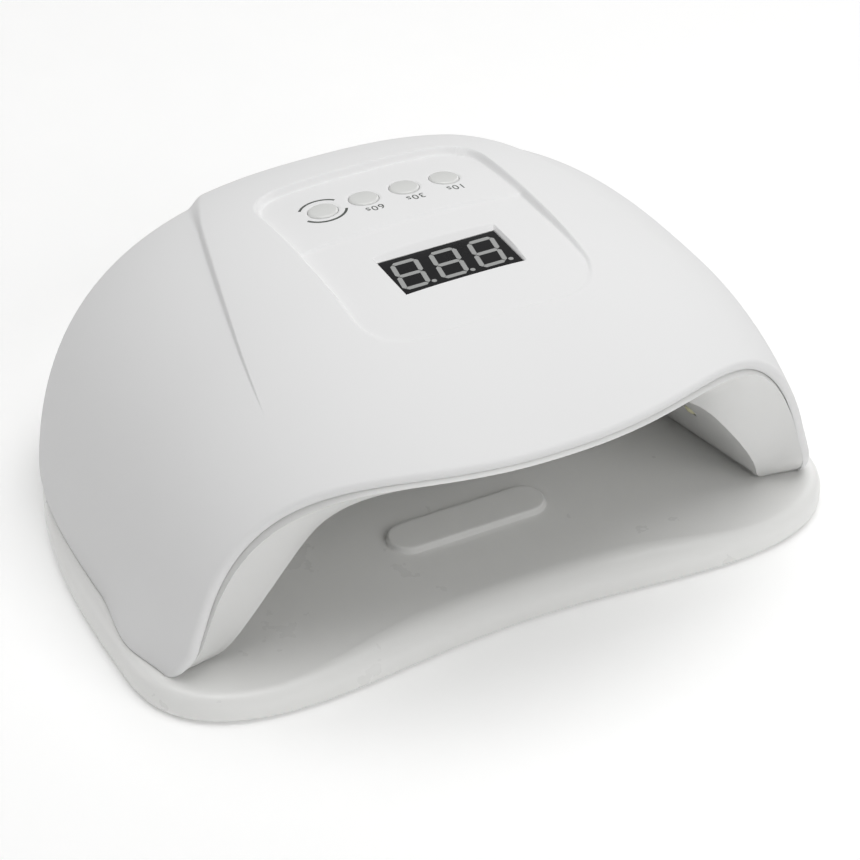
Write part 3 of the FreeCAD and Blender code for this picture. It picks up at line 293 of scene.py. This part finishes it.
def shell_grid():
    """Angles and y places of the shell's outside, rows from the lip to the back."""
    parts = [shell_columns(), np.linspace(0.0, 1.0, 14)[1:],
             np.linspace(-1.0, 1.0, 17)[1:], np.linspace(0.0, 1.0, 64)[1:]]
    kinds = np.concatenate([np.full(len(part), kind) for kind, part in enumerate(parts)])
    where = np.concatenate(parts)
    lip = np.full(len(where), -80.0)
    for _ in range(60):
        x, _, z = on_dome(column_angles(kinds, where, lip), lip).T
        lip = 0.5 * (lip + front_y(x, z) + LIP_RADIUS + 0.05)
    tail = shell_rows()
    run = np.linspace(0.0, 1.0, 34, endpoint=False)[:, None] ** 1.3
    y = np.concatenate([lip + (tail[0] - lip) * run, np.repeat(tail[:, None], len(lip), 1)])
    angles = column_angles(kinds, where, y)
    return (np.concatenate([-angles[:, :0:-1], angles], axis=1),
            np.concatenate([y[:, :0:-1], y], axis=1))


def panel_blend(x, y):
    """0 outside the panel and 1 on its floor, rising over the panel's soft wall."""
    wall = 1.2 + 0.6 * smooth((y - PANEL_FRONT) / 60.0)
    return smooth((panel_edge(x, y) + 0.2) / wall)


def shell_outside(angles, places):
    """Outside grid of the shell: dome, band and, on its upper part, the panel."""
    points = banded(angles, places)
    x, y = points[..., 0], points[..., 1]
    mix = np.where(points[..., 2] > 60.0, panel_blend(x, y), 0.0)
    points[..., 2] += (panel_floor(x, y) - points[..., 2]) * mix
    return points


def unit(vectors):
    return vectors / np.maximum(np.linalg.norm(vectors, axis=-1, keepdims=True), 1e-9)


def sheet_solid(name, outside, lip, inside, **words):
    """Closed solid from an outer grid, the rows rolled over its first row, and an inner grid."""
    rows, columns = outside.shape[:2]
    sheet = np.concatenate([inside[::-1], lip[::-1], outside], axis=0)
    faces = quads(len(sheet), columns).tolist()
    for column in (0, columns - 1):
        outer = [(len(sheet) - rows + i) * columns + column for i in range(rows)]
        inner = [(rows - 1 - i) * columns + column for i in range(rows)]
        rolled = [(rows + len(lip) - 1 - i) * columns + column for i in range(len(lip))]
        loops = [[outer[i], outer[i + 1], inner[i + 1], inner[i]] for i in range(rows - 1)]
        loops.append([outer[0]] + [inner[0]] + rolled[::-1])
        faces += [loop[::-1] for loop in loops] if column else loops
    thing = piece(name, sheet.reshape(-1, 3), faces, **words)
    clean(thing)
    return thing


def clean(thing):
    """Merges points that coincide and turns every face outward."""
    work = bmesh.new()
    work.from_mesh(thing.data)
    bmesh.ops.remove_doubles(work, verts=work.verts, dist=1e-6)
    bmesh.ops.dissolve_degenerate(work, edges=work.edges, dist=1e-7)
    bmesh.ops.recalc_face_normals(work, faces=work.faces)
    work.to_mesh(thing.data)
    work.free()


def carve(thing, cutters):
    """Cuts several solids out of a piece and keeps the result as plain mesh."""
    bpy.context.view_layer.update()
    for cutter in cutters:
        change = thing.modifiers.new("cut", "BOOLEAN")
        change.operation, change.solver, change.object = "DIFFERENCE", "MANIFOLD", cutter
        with bpy.context.temp_override(object=thing, active_object=thing):
            bpy.ops.object.modifier_apply(modifier=change.name)
    for cutter in cutters:
        bpy.data.objects.remove(cutter)


def cutter_of(build):
    work = bmesh.new()
    build(work)
    mesh = bpy.data.meshes.new("cutter")
    work.to_mesh(mesh)
    work.free()
    thing = bpy.data.objects.new("cutter", mesh)
    bpy.context.scene.collection.objects.link(thing)
    return thing


def rod_cutter(centre, radius, depth, turn=None):
    def build(work):
        place = Matrix.Translation(Vector(centre) * MM) @ (turn or Matrix.Identity(4))
        bmesh.ops.create_cone(work, cap_ends=True, segments=96, radius1=radius * MM,
                              radius2=radius * MM, depth=depth * MM, matrix=place)
    return cutter_of(build)


def box_cutter(low, high):
    def build(work):
        middle = (Vector(low) + Vector(high)) * 0.5 * MM
        size = (Vector(high) - Vector(low)) * MM
        place = Matrix.Translation(middle) @ Matrix.Diagonal((*size, 1.0))
        bmesh.ops.create_cube(work, size=1.0, matrix=place)
    return cutter_of(build)


def make_top_shell():
    angles, places = shell_grid()
    outside = shell_outside(angles, places)
    outward = dome_normal(angles[0], places[0])
    forward = unit(np.cross(np.gradient(outside[0], axis=0), outward))
    forward *= -np.sign(forward[:, 1:2])
    lip = []
    for turn in np.linspace(0.0, 0.5 * math.pi, 11)[1:]:
        lip.append(outside[0] + forward * LIP_RADIUS * math.sin(turn)
                   - outward * LIP_DROP * (1.0 - math.cos(turn)))
    lip.append(outside[0] + forward * LIP_RADIUS - outward * (LIP_WALL - 0.15))
    lip.append(outside[0] + forward * (LIP_RADIUS - 0.15) - outward * LIP_WALL)
    lip.append(outside[0] + forward * (LIP_RADIUS - 1.6) - outward * LIP_WALL)
    inside = on_dome(angles, places) - dome_normal(angles, places) * WALL
    inside[..., 2] = np.maximum(inside[..., 2], BOTTOM_Z)
    shell = sheet_solid("shell_cover", outside, np.array(lip), inside,
                        body="housing", slot="shell_white", replaces=["top_shell"])
    cutters = [rod_cutter((x, y, 98.0), HOLE_RADIUS, 24.0) for x, y in BUTTONS]
    cutters.append(box_cutter((-WINDOW_HALF, DISPLAY_Y - WINDOW_REACH, 90.0),
                              (WINDOW_HALF, DISPLAY_Y + WINDOW_REACH, 105.0)))
    back = Matrix.Rotation(0.5 * math.pi, 4, "X")
    cutters.append(rod_cutter((0.0, INLET_FACE, INLET_Z), INLET_RADIUS, 40.0, back))
    cutters.append(rod_cutter((0.0, INLET_FACE + 10.0, INLET_Z), INLET_LAND, 20.0, back))
    half = 0.5 * VENT_WIDTH
    for side in (-1, 1):
        for index in range(VENT_COUNT):
            x = side * (VENT_FIRST + VENT_PITCH * index)
            cutters.append(box_cutter((x - half, 60.0, VENT_LOW), (x + half, 120.0, VENT_HIGH)))
    carve(shell, cutters)
    shade(shell, 38.0)
    return shell


# ---------------------------------------------------------------- tray

TRAY_HALF, TRAY_MID = 114.65, -40.4
TRAY_BOTTOM, TRAY_TOP, TRAY_CROWN, TRAY_WALL = 0.8, 9.6, 12.8, 2.6
TRAY_FRONT, TRAY_BACK, TRAY_DIP = 50.6, 141.0, 11.2
PLATEAU = (0.25, 0.40, 0.10)
BOTTOM_ROUND = 1.6
REST_Y, REST_HALF, REST_RADIUS = -42.5, 26.0, 6.5
# Finger rest from its foot to its flat top: how far in from the outline, how high.
REST_PROFILE = ((-0.45, 0.03), (-0.3, 0.15), (-0.2, 0.35), (-0.1, 0.9), (0.0, 1.4),
                (0.06, 1.62), (0.2, 1.82), (0.4, 1.94), (0.7, 2.0), (1.6, 2.0))


def tray_outline(turn):
    """Plan outline of the tray: two front lobes and a rounded back."""
    across, along = np.sin(turn), np.cos(turn)
    front = along < 0
    power = np.where(front, 3.4, 2.6)
    size = (np.abs(across) ** power + np.abs(along) ** power) ** (-1.0 / power)
    x = TRAY_HALF * across * size
    dip = 0.5 * (1.0 + np.cos(math.pi * x / TRAY_HALF)) * np.minimum(np.abs(along) * size, 1.0)
    reach = np.where(front, TRAY_FRONT, TRAY_BACK)
    y = TRAY_MID + reach * along * size + np.where(front, TRAY_DIP * dip, 0.0)
    return np.stack([x, y], axis=-1)


def crown_rise(place):
    """1 over the tray's raised middle, falling to 0 towards its sides and its back."""
    return smooth((87.0 - np.abs(place[:, 0])) / 57.0) * smooth((60.0 - place[:, 1]) / 80.0)


def rest_outline(turn, inset):
    """Plan outline of the finger rest, a stadium, moved in by an inset."""
    radius, reach = REST_RADIUS - inset, REST_HALF - REST_RADIUS
    direction = np.stack([np.sin(turn), np.cos(turn)], axis=-1)
    flat = radius / np.maximum(np.abs(direction[:, 1]), 1e-9)
    along = np.abs(direction[:, 0])
    round_end = along * reach + np.sqrt(np.maximum(radius ** 2 - (reach * direction[:, 1]) ** 2, 0.0))
    straight = along * flat <= reach
    size = np.where(straight, flat, round_end)
    return direction * size[:, None] + np.array([0.0, REST_Y])


def make_tray():
    turn = np.linspace(0.0, 2.0 * math.pi, 480, endpoint=False)
    edge = tray_outline(turn)
    run = tray_outline(turn + 0.01) - tray_outline(turn - 0.01)
    inward = unit(np.stack([run[:, 1], -run[:, 0]], axis=-1))
    rise = crown_rise(edge)
    depth, drop = 4.0 + 4.0 * rise, 4.0 + 3.0 * rise
    rim_top = TRAY_TOP + (TRAY_CROWN - TRAY_TOP) * rise
    rows = []

    def ring(inset, z):
        inset = np.broadcast_to(inset, turn.shape)
        rows.append(np.column_stack([edge + inward * inset[:, None],
                                     np.broadcast_to(z, turn.shape)]))

    ring(TRAY_WALL, TRAY_TOP - TRAY_WALL)
    ring(TRAY_WALL, TRAY_BOTTOM)
    for step in np.linspace(0.0, 0.5 * math.pi, 7):
        ring(BOTTOM_ROUND * (1.0 - math.sin(step)),
             TRAY_BOTTOM + BOTTOM_ROUND * (1.0 - math.cos(step)))
    for step in np.linspace(0.0, 0.5 * math.pi, 19):
        ring(depth * (1.0 - math.cos(step)), rim_top - drop * (1.0 - math.sin(step)))
    along = edge[:, 1] - TRAY_MID
    plateau = np.column_stack([edge[:, 0] * PLATEAU[0],
                               TRAY_MID + along * np.where(along < 0, PLATEAU[1], PLATEAU[2])])
    rim = rows[-1][:, :2]
    for share in np.linspace(0.0, 1.0, 41)[1:]:
        place = rim + (plateau - rim) * share
        height = TRAY_TOP + (TRAY_CROWN - TRAY_TOP) * crown_rise(place)
        rows.append(np.column_stack([place, height]))
    for share in (0.3, 0.7, 1.0):
        place = plateau + (rest_outline(turn, -0.6) - plateau) * share
        rows.append(np.column_stack([place, np.full(len(turn), TRAY_CROWN)]))
    for inset, height in REST_PROFILE:
        top = np.full(len(turn), TRAY_CROWN + height)
        rows.append(np.column_stack([rest_outline(turn, inset), top]))
    count = len(turn)
    faces = ring_faces(len(rows), count)
    tray = piece("tray_cover", np.concatenate(rows), faces, "base", "tray_white", ["base_tray"])
    clean(tray)
    shade(tray, 40.0)
    return tray


# ---------------------------------------------------------------- buttons

FLANGE_RADIUS, FLANGE_THICK = 5.7, 0.9
CAP_RIM, CAP_PROUD, CAP_CROWN, CAP_FLAT = 0.8, 0.28, 0.16, 3.7


def shelf_z(x, y):
    return dome_z(x, y) - SHELF_DEPTH


def make_button(name, index):
    """A cap whose top follows the shelf, with a soft rim and a skirt down to its flange."""
    bx, by = BUTTONS[index]
    turn = np.linspace(0.0, 2.0 * math.pi, 96, endpoint=False)
    rows = []
    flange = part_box("button_cap_" + name)[0][2] / MM
    top = flange + FLANGE_THICK
    profile = [(FLANGE_RADIUS, None, flange), (FLANGE_RADIUS, None, top), (CAP_RADIUS, None, top)]
    for step in np.linspace(0.0, 0.5 * math.pi, 9):
        profile.append((CAP_RADIUS - CAP_RIM + CAP_RIM * math.cos(step),
                        CAP_RIM * (math.sin(step) - 1.0), None))
    for radius in (3.0, 2.2, 1.4, 0.6):
        profile.append((radius, CAP_CROWN * (1.0 - (radius / CAP_FLAT) ** 2), None))
    for radius, drop, z in profile:
        x, y = bx + radius * np.cos(turn), by + radius * np.sin(turn)
        height = np.full(len(turn), z) if drop is None else shelf_z(x, y) + CAP_PROUD + drop
        rows.append(np.column_stack([x, y, height]))
    count = len(turn)
    faces = ring_faces(len(rows), count)
    node = "button_cap_" + name
    bodies = frame["record"]["behaviour"]["bodies"]
    owner = [body for body in bodies if node in bodies[body]][0]
    cap = piece("cap_" + name, np.concatenate(rows), faces, owner, "button_white", [node])
    clean(cap)
    shade(cap, 40.0)
    return cap


# ---------------------------------------------------------------- printing on the shell

LABEL_SIZE, LABEL_SPACING, LABEL_DROP = 4.0, 1.1, 7.6
PRINT_PROUD, PRINT_THICK = 0.03, 0.08
ARC_RADIUS, ARC_WIDTH = 6.6, 0.8


def printed(name, text, place):
    """Lettering laid on the shell's surface, to be read from the back of the lamp."""
    curve = bpy.data.curves.new(name, "FONT")
    curve.body, curve.size, curve.align_x, curve.align_y = text, LABEL_SIZE, "CENTER", "CENTER"
    curve.space_character, curve.resolution_u = LABEL_SPACING, 6
    source = bpy.data.objects.new(name + "_source", curve)
    bpy.context.scene.collection.objects.link(source)
    bpy.context.view_layer.update()
    mesh = bpy.data.meshes.new_from_object(source.evaluated_get(bpy.context.evaluated_depsgraph_get()))
    bpy.data.objects.remove(source)
    work = bmesh.new()
    work.from_mesh(mesh)
    for step in np.arange(-40.0, 40.0, 0.6):
        for normal in ((1, 0, 0), (0, 1, 0)):
            bmesh.ops.bisect_plane(work, geom=work.verts[:] + work.edges[:] + work.faces[:],
                                   plane_co=Vector(normal) * step, plane_no=normal)
    work.to_mesh(mesh)
    work.free()
    flat = np.array([vertex.co[:2] for vertex in mesh.vertices])
    x, y = place[0] - flat[:, 0], place[1] - flat[:, 1]
    faces = [list(face.vertices) for face in mesh.polygons]
    return lay_on_shell(name, x, y, faces)


def shell_z(x, y):
    """Height of the shell's outside under a point of the plan."""
    band = band_rise(y) * (angle_at(x, y) < band_edge(y))
    outer = dome_z(x, y) + band
    return outer + (panel_floor(x, y) - outer) * panel_blend(x, y)


def lay_on_shell(name, x, y, faces):
    """Thin closed print on the shell, from flat faces given in plan."""
    points = np.column_stack([x, y, shell_z(x, y) + PRINT_PROUD])
    count = len(points)
    under = points - np.array([0.0, 0.0, PRINT_THICK])
    edges = {}
    for face in faces:
        for a, b in zip(face, face[1:] + face[:1]):
            edges[(a, b)] = edges.get((a, b), 0) + 1
    rim = [pair for pair in edges if pair[::-1] not in edges]
    walls = [[b, a, a + count, b + count] for a, b in rim]
    lower = [[index + count for index in face[::-1]] for face in faces]
    thing = piece(name, np.concatenate([points, under]), faces + lower + walls, "housing", "segment_grey")
    clean(thing)
    return thing


def arc_mark(name, centre, start, stop):
    turn = np.radians(np.linspace(start, stop, 40))
    rows = []
    for reach in (ARC_RADIUS, ARC_RADIUS + ARC_WIDTH):
        x, y = centre[0] + reach * np.cos(turn), centre[1] + reach * np.sin(turn)
        rows.append(np.column_stack([x, y]))
    flat = np.concatenate(rows)
    return lay_on_shell(name, flat[:, 0], flat[:, 1], quads(2, 40)[:, ::-1].tolist())


# ---------------------------------------------------------------- materials

# Noise values between which colour and gloss change.
NOISE_LOW, NOISE_HIGH = 0.3, 0.7


def material(name):
    mat = bpy.data.materials.new(name)
    mat.use_nodes = True
    return mat, mat.node_tree, mat.node_tree.nodes["Principled BSDF"]


def noise(tree, scale, detail=3.0, rough=0.5):
    node = tree.nodes.new("ShaderNodeTexNoise")
    node.inputs["Scale"].default_value = scale
    node.inputs["Detail"].default_value = detail
    node.inputs["Roughness"].default_value = rough
    coords = tree.nodes.new("ShaderNodeTexCoord")
    tree.links.new(coords.outputs["Object"], node.inputs["Vector"])
    return node


def ramp(tree, source, low, high):
    node = tree.nodes.new("ShaderNodeValToRGB")
    first, last = node.color_ramp.elements
    first.position, last.position = NOISE_LOW, NOISE_HIGH
    first.color, last.color = (*low, 1.0), (*high, 1.0)
    tree.links.new(source, node.inputs["Fac"])
    return node.outputs["Color"]


def spread(tree, source, low, high):
    node = tree.nodes.new("ShaderNodeMapRange")
    node.inputs["From Min"].default_value = NOISE_LOW
    node.inputs["From Max"].default_value = NOISE_HIGH
    node.inputs["To Min"].default_value = low
    node.inputs["To Max"].default_value = high
    tree.links.new(source, node.inputs["Value"])
    return node.outputs["Result"]


def bump(tree, bsdf, source, strength, distance):
    node = tree.nodes.new("ShaderNodeBump")
    node.inputs["Strength"].default_value = strength
    node.inputs["Distance"].default_value = distance
    tree.links.new(source, node.inputs["Height"])
    tree.links.new(node.outputs["Normal"], bsdf.inputs["Normal"])


def plastic(name, tone, rough, shift, grain, depth, specular=0.5, coat=0.0, glow=0.0):
    """Moulded plastic: faint colour drift, uneven gloss and a very fine surface."""
    mat, tree, bsdf = material(name)
    drift = noise(tree, 14.0, 2.0)
    low = tuple(max(value - shift, 0.0) for value in tone)
    high = tuple(min(value + shift, 1.0) for value in tone)
    tree.links.new(ramp(tree, drift.outputs["Fac"], low, high), bsdf.inputs["Base Color"])
    wear = noise(tree, 55.0, 4.0, 0.6)
    tree.links.new(spread(tree, wear.outputs["Fac"], rough * 0.88, rough * 1.14), bsdf.inputs["Roughness"])
    bump(tree, bsdf, noise(tree, grain, 2.0).outputs["Fac"], depth, 0.0002)
    bsdf.inputs["Specular IOR Level"].default_value = specular
    bsdf.inputs["Coat Weight"].default_value = coat
    bsdf.inputs["Coat Roughness"].default_value = 0.05
    bsdf.inputs["Emission Color"].default_value = (1.0, 1.0, 1.0, 1.0)
    bsdf.inputs["Emission Strength"].default_value = glow
    return mat


def metal(name, tone, rough, scale=(1.0, 1.0, 12.0)):
    """Plated or brushed metal with fine directional marks."""
    mat, tree, bsdf = material(name)
    marks = noise(tree, 420.0, 4.0, 0.6)
    mapping = tree.nodes.new("ShaderNodeMapping")
    mapping.inputs["Scale"].default_value = scale
    coords = tree.nodes.new("ShaderNodeTexCoord")
    tree.links.new(coords.outputs["Object"], mapping.inputs["Vector"])
    tree.links.new(mapping.outputs["Vector"], marks.inputs["Vector"])
    low, high = tuple(value * 0.86 for value in tone), tuple(min(value * 1.08, 1.0) for value in tone)
    tree.links.new(ramp(tree, marks.outputs["Fac"], low, high), bsdf.inputs["Base Color"])
    tree.links.new(spread(tree, marks.outputs["Fac"], rough * 0.8, rough * 1.25), bsdf.inputs["Roughness"])
    bump(tree, bsdf, marks.outputs["Fac"], 0.06, 0.0002)
    bsdf.inputs["Metallic"].default_value = 1.0
    return mat


def lens(name, tone, rough, alpha):
    """Clear epoxy over a phosphor: partly see-through and glossy."""
    mat = plastic(name, tone, rough, 0.03, 300.0, 0.02, 0.6)
    mat.node_tree.nodes["Principled BSDF"].inputs["Alpha"].default_value = alpha
    return mat


LOOKS = {
    "shell_white": plastic("shell_white", (0.60, 0.605, 0.595), 0.09, 0.004, 700.0, 0.008, 0.5, 1.0),
    "tray_white": plastic("tray_white", (0.83, 0.83, 0.815), 0.30, 0.003, 1500.0, 0.05),
    "inner_white": plastic("inner_white", (0.72, 0.72, 0.71), 0.33, 0.003, 1500.0, 0.05),
    "button_white": plastic("button_white", (0.72, 0.725, 0.71), 0.22, 0.006, 900.0, 0.02),
    "rubber_grey": plastic("rubber_grey", (0.06, 0.06, 0.063), 0.75, 0.015, 1800.0, 0.25, 0.3),
    "display_black": plastic("display_black", (0.008, 0.008, 0.009), 0.28, 0.002, 1200.0, 0.02),
    "segment_grey": plastic("segment_grey", (0.36, 0.365, 0.36), 0.45, 0.02, 1600.0, 0.05),
    "board_green": plastic("board_green", (0.012, 0.085, 0.028), 0.3, 0.006, 500.0, 0.06),
    "led_board_white": plastic("led_board_white", (0.70, 0.70, 0.68), 0.4, 0.015, 700.0, 0.05),
    "led_lens": lens("led_lens", (0.82, 0.80, 0.52), 0.12, 0.85),
    "chip_black": plastic("chip_black", (0.014, 0.014, 0.015), 0.5, 0.004, 2200.0, 0.2),
    "ferrite_black": plastic("ferrite_black", (0.03, 0.03, 0.032), 0.6, 0.008, 1500.0, 0.3),
    "connector_cream": plastic("connector_cream", (0.62, 0.57, 0.44), 0.42, 0.02, 1200.0, 0.05),
    "sensor_clear": lens("sensor_clear", (0.80, 0.82, 0.86), 0.1, 0.75),
    "sensor_dark": plastic("sensor_dark", (0.012, 0.010, 0.02), 0.12, 0.003, 300.0, 0.02),
    "inlet_black": plastic("inlet_black", (0.012, 0.012, 0.013), 0.4, 0.004, 1500.0, 0.1),
    "plunger_black": plastic("plunger_black", (0.015, 0.015, 0.016), 0.45, 0.004, 1500.0, 0.1),
    "magnet_nickel": metal("magnet_nickel", (0.72, 0.71, 0.68), 0.16),
    "screw_steel": metal("screw_steel", (0.55, 0.55, 0.56), 0.3, (1.0, 1.0, 4.0)),
    "switch_steel": metal("switch_steel", (0.60, 0.60, 0.60), 0.3),
    "tinned_pin": metal("tinned_pin", (0.68, 0.68, 0.66), 0.28),
    "capacitor_can": metal("capacitor_can", (0.62, 0.63, 0.65), 0.25),
}
INK = plastic("grey_print", (0.10, 0.11, 0.10), 0.35, 0.01, 900.0, 0.03)

for row in frame["record"]["subparts"]:
    node = frame["nodes"][row["node"]]
    node.data.materials.clear()
    node.data.materials.append(LOOKS[row["material_slot"]])

shell = make_top_shell()
shell.data.materials.append(LOOKS["shell_white"])
tray = make_tray()
tray.data.materials.append(LOOKS["tray_white"])
for index, name in enumerate(("low_heat", "60", "30", "10")):
    cap = make_button(name, index)
    cap.data.materials.append(LOOKS["button_white"])
for index, label in ((1, "60s"), (2, "30s"), (3, "10s")):
    bx, by = BUTTONS[index]
    mark = printed("label_" + label, label, (bx, by - LABEL_DROP))
    mark.data.materials.append(INK)
for name, start, stop in (("arc_rear", 35.0, 145.0), ("arc_front", 205.0, 335.0)):
    mark = arc_mark(name, BUTTONS[0], start, stop)
    mark.data.materials.append(INK)

# ---------------------------------------------------------------- camera, floor and lights

LENS, SENSOR = 130.27, 36.0
CAMERA_PLACE, CAMERA_AIM = (-353.1, -691.4, 583.3), (19.6, 18.5, 0.8)
LAMP_MIDDLE, ABOVE_LAMP = (0.0, 0.0, 0.05), (0.05, -0.06)
FLOOR_HALF, WORLD_LIGHT = 4.0, 0.20

camera = bpy.data.objects.new("camera", bpy.data.cameras.new("camera"))
bpy.context.scene.collection.objects.link(camera)
camera.data.lens, camera.data.sensor_width = LENS, SENSOR
camera.location = Vector(CAMERA_PLACE) * MM
aim = Vector(CAMERA_AIM) * MM - camera.location
camera.rotation_euler = aim.to_track_quat("-Z", "Y").to_euler()
bpy.context.scene.camera = camera

floor_mesh = bpy.data.meshes.new("floor")
corners = [(x * FLOOR_HALF, y * FLOOR_HALF, 0.0) for x, y in ((-1, -1), (1, -1), (1, 1), (-1, 1))]
floor_mesh.from_pydata(corners, [], [(0, 1, 2, 3)])
floor = bpy.data.objects.new("floor", floor_mesh)
bpy.context.scene.collection.objects.link(floor)
floor.data.materials.append(plastic("floor", (0.93, 0.93, 0.925), 0.6, 0.003, 60.0, 0.02, 0.2, 0.0, 0.14))

world = bpy.data.worlds.new("studio")
world.use_nodes = True
world.node_tree.nodes["Background"].inputs["Color"].default_value = (1.0, 1.0, 1.0, 1.0)
world.node_tree.nodes["Background"].inputs["Strength"].default_value = WORLD_LIGHT
bpy.context.scene.world = world
bpy.context.scene.view_settings.view_transform = "Standard"


def softbox(name, place, aim_at, width, height, power):
    """Soft rectangular light; places and sizes in metres, power in watts."""
    light = bpy.data.lights.new(name, "AREA")
    light.shape, light.size, light.size_y, light.energy = "RECTANGLE", width, height, power
    thing = bpy.data.objects.new(name, light)
    bpy.context.scene.collection.objects.link(thing)
    thing.location = Vector(place)
    thing.rotation_euler = (Vector(aim_at) - thing.location).to_track_quat("-Z", "Y").to_euler()
    return thing


softbox("overhead", (*ABOVE_LAMP, 1.35), (*ABOVE_LAMP, 0.0), 1.4, 1.2, 13.0)
softbox("right_panel", (1.25, 0.75, 0.62), LAMP_MIDDLE, 0.9, 0.9, 4.0)
softbox("left_panel", (-1.1, 1.0, 0.55), LAMP_MIDDLE, 0.8, 0.8, 2.2)
front_fill = softbox("front_fill", (0.5, -1.9, 1.1), LAMP_MIDDLE, 1.6, 1.2, 13.0)
front_fill.visible_glossy = False
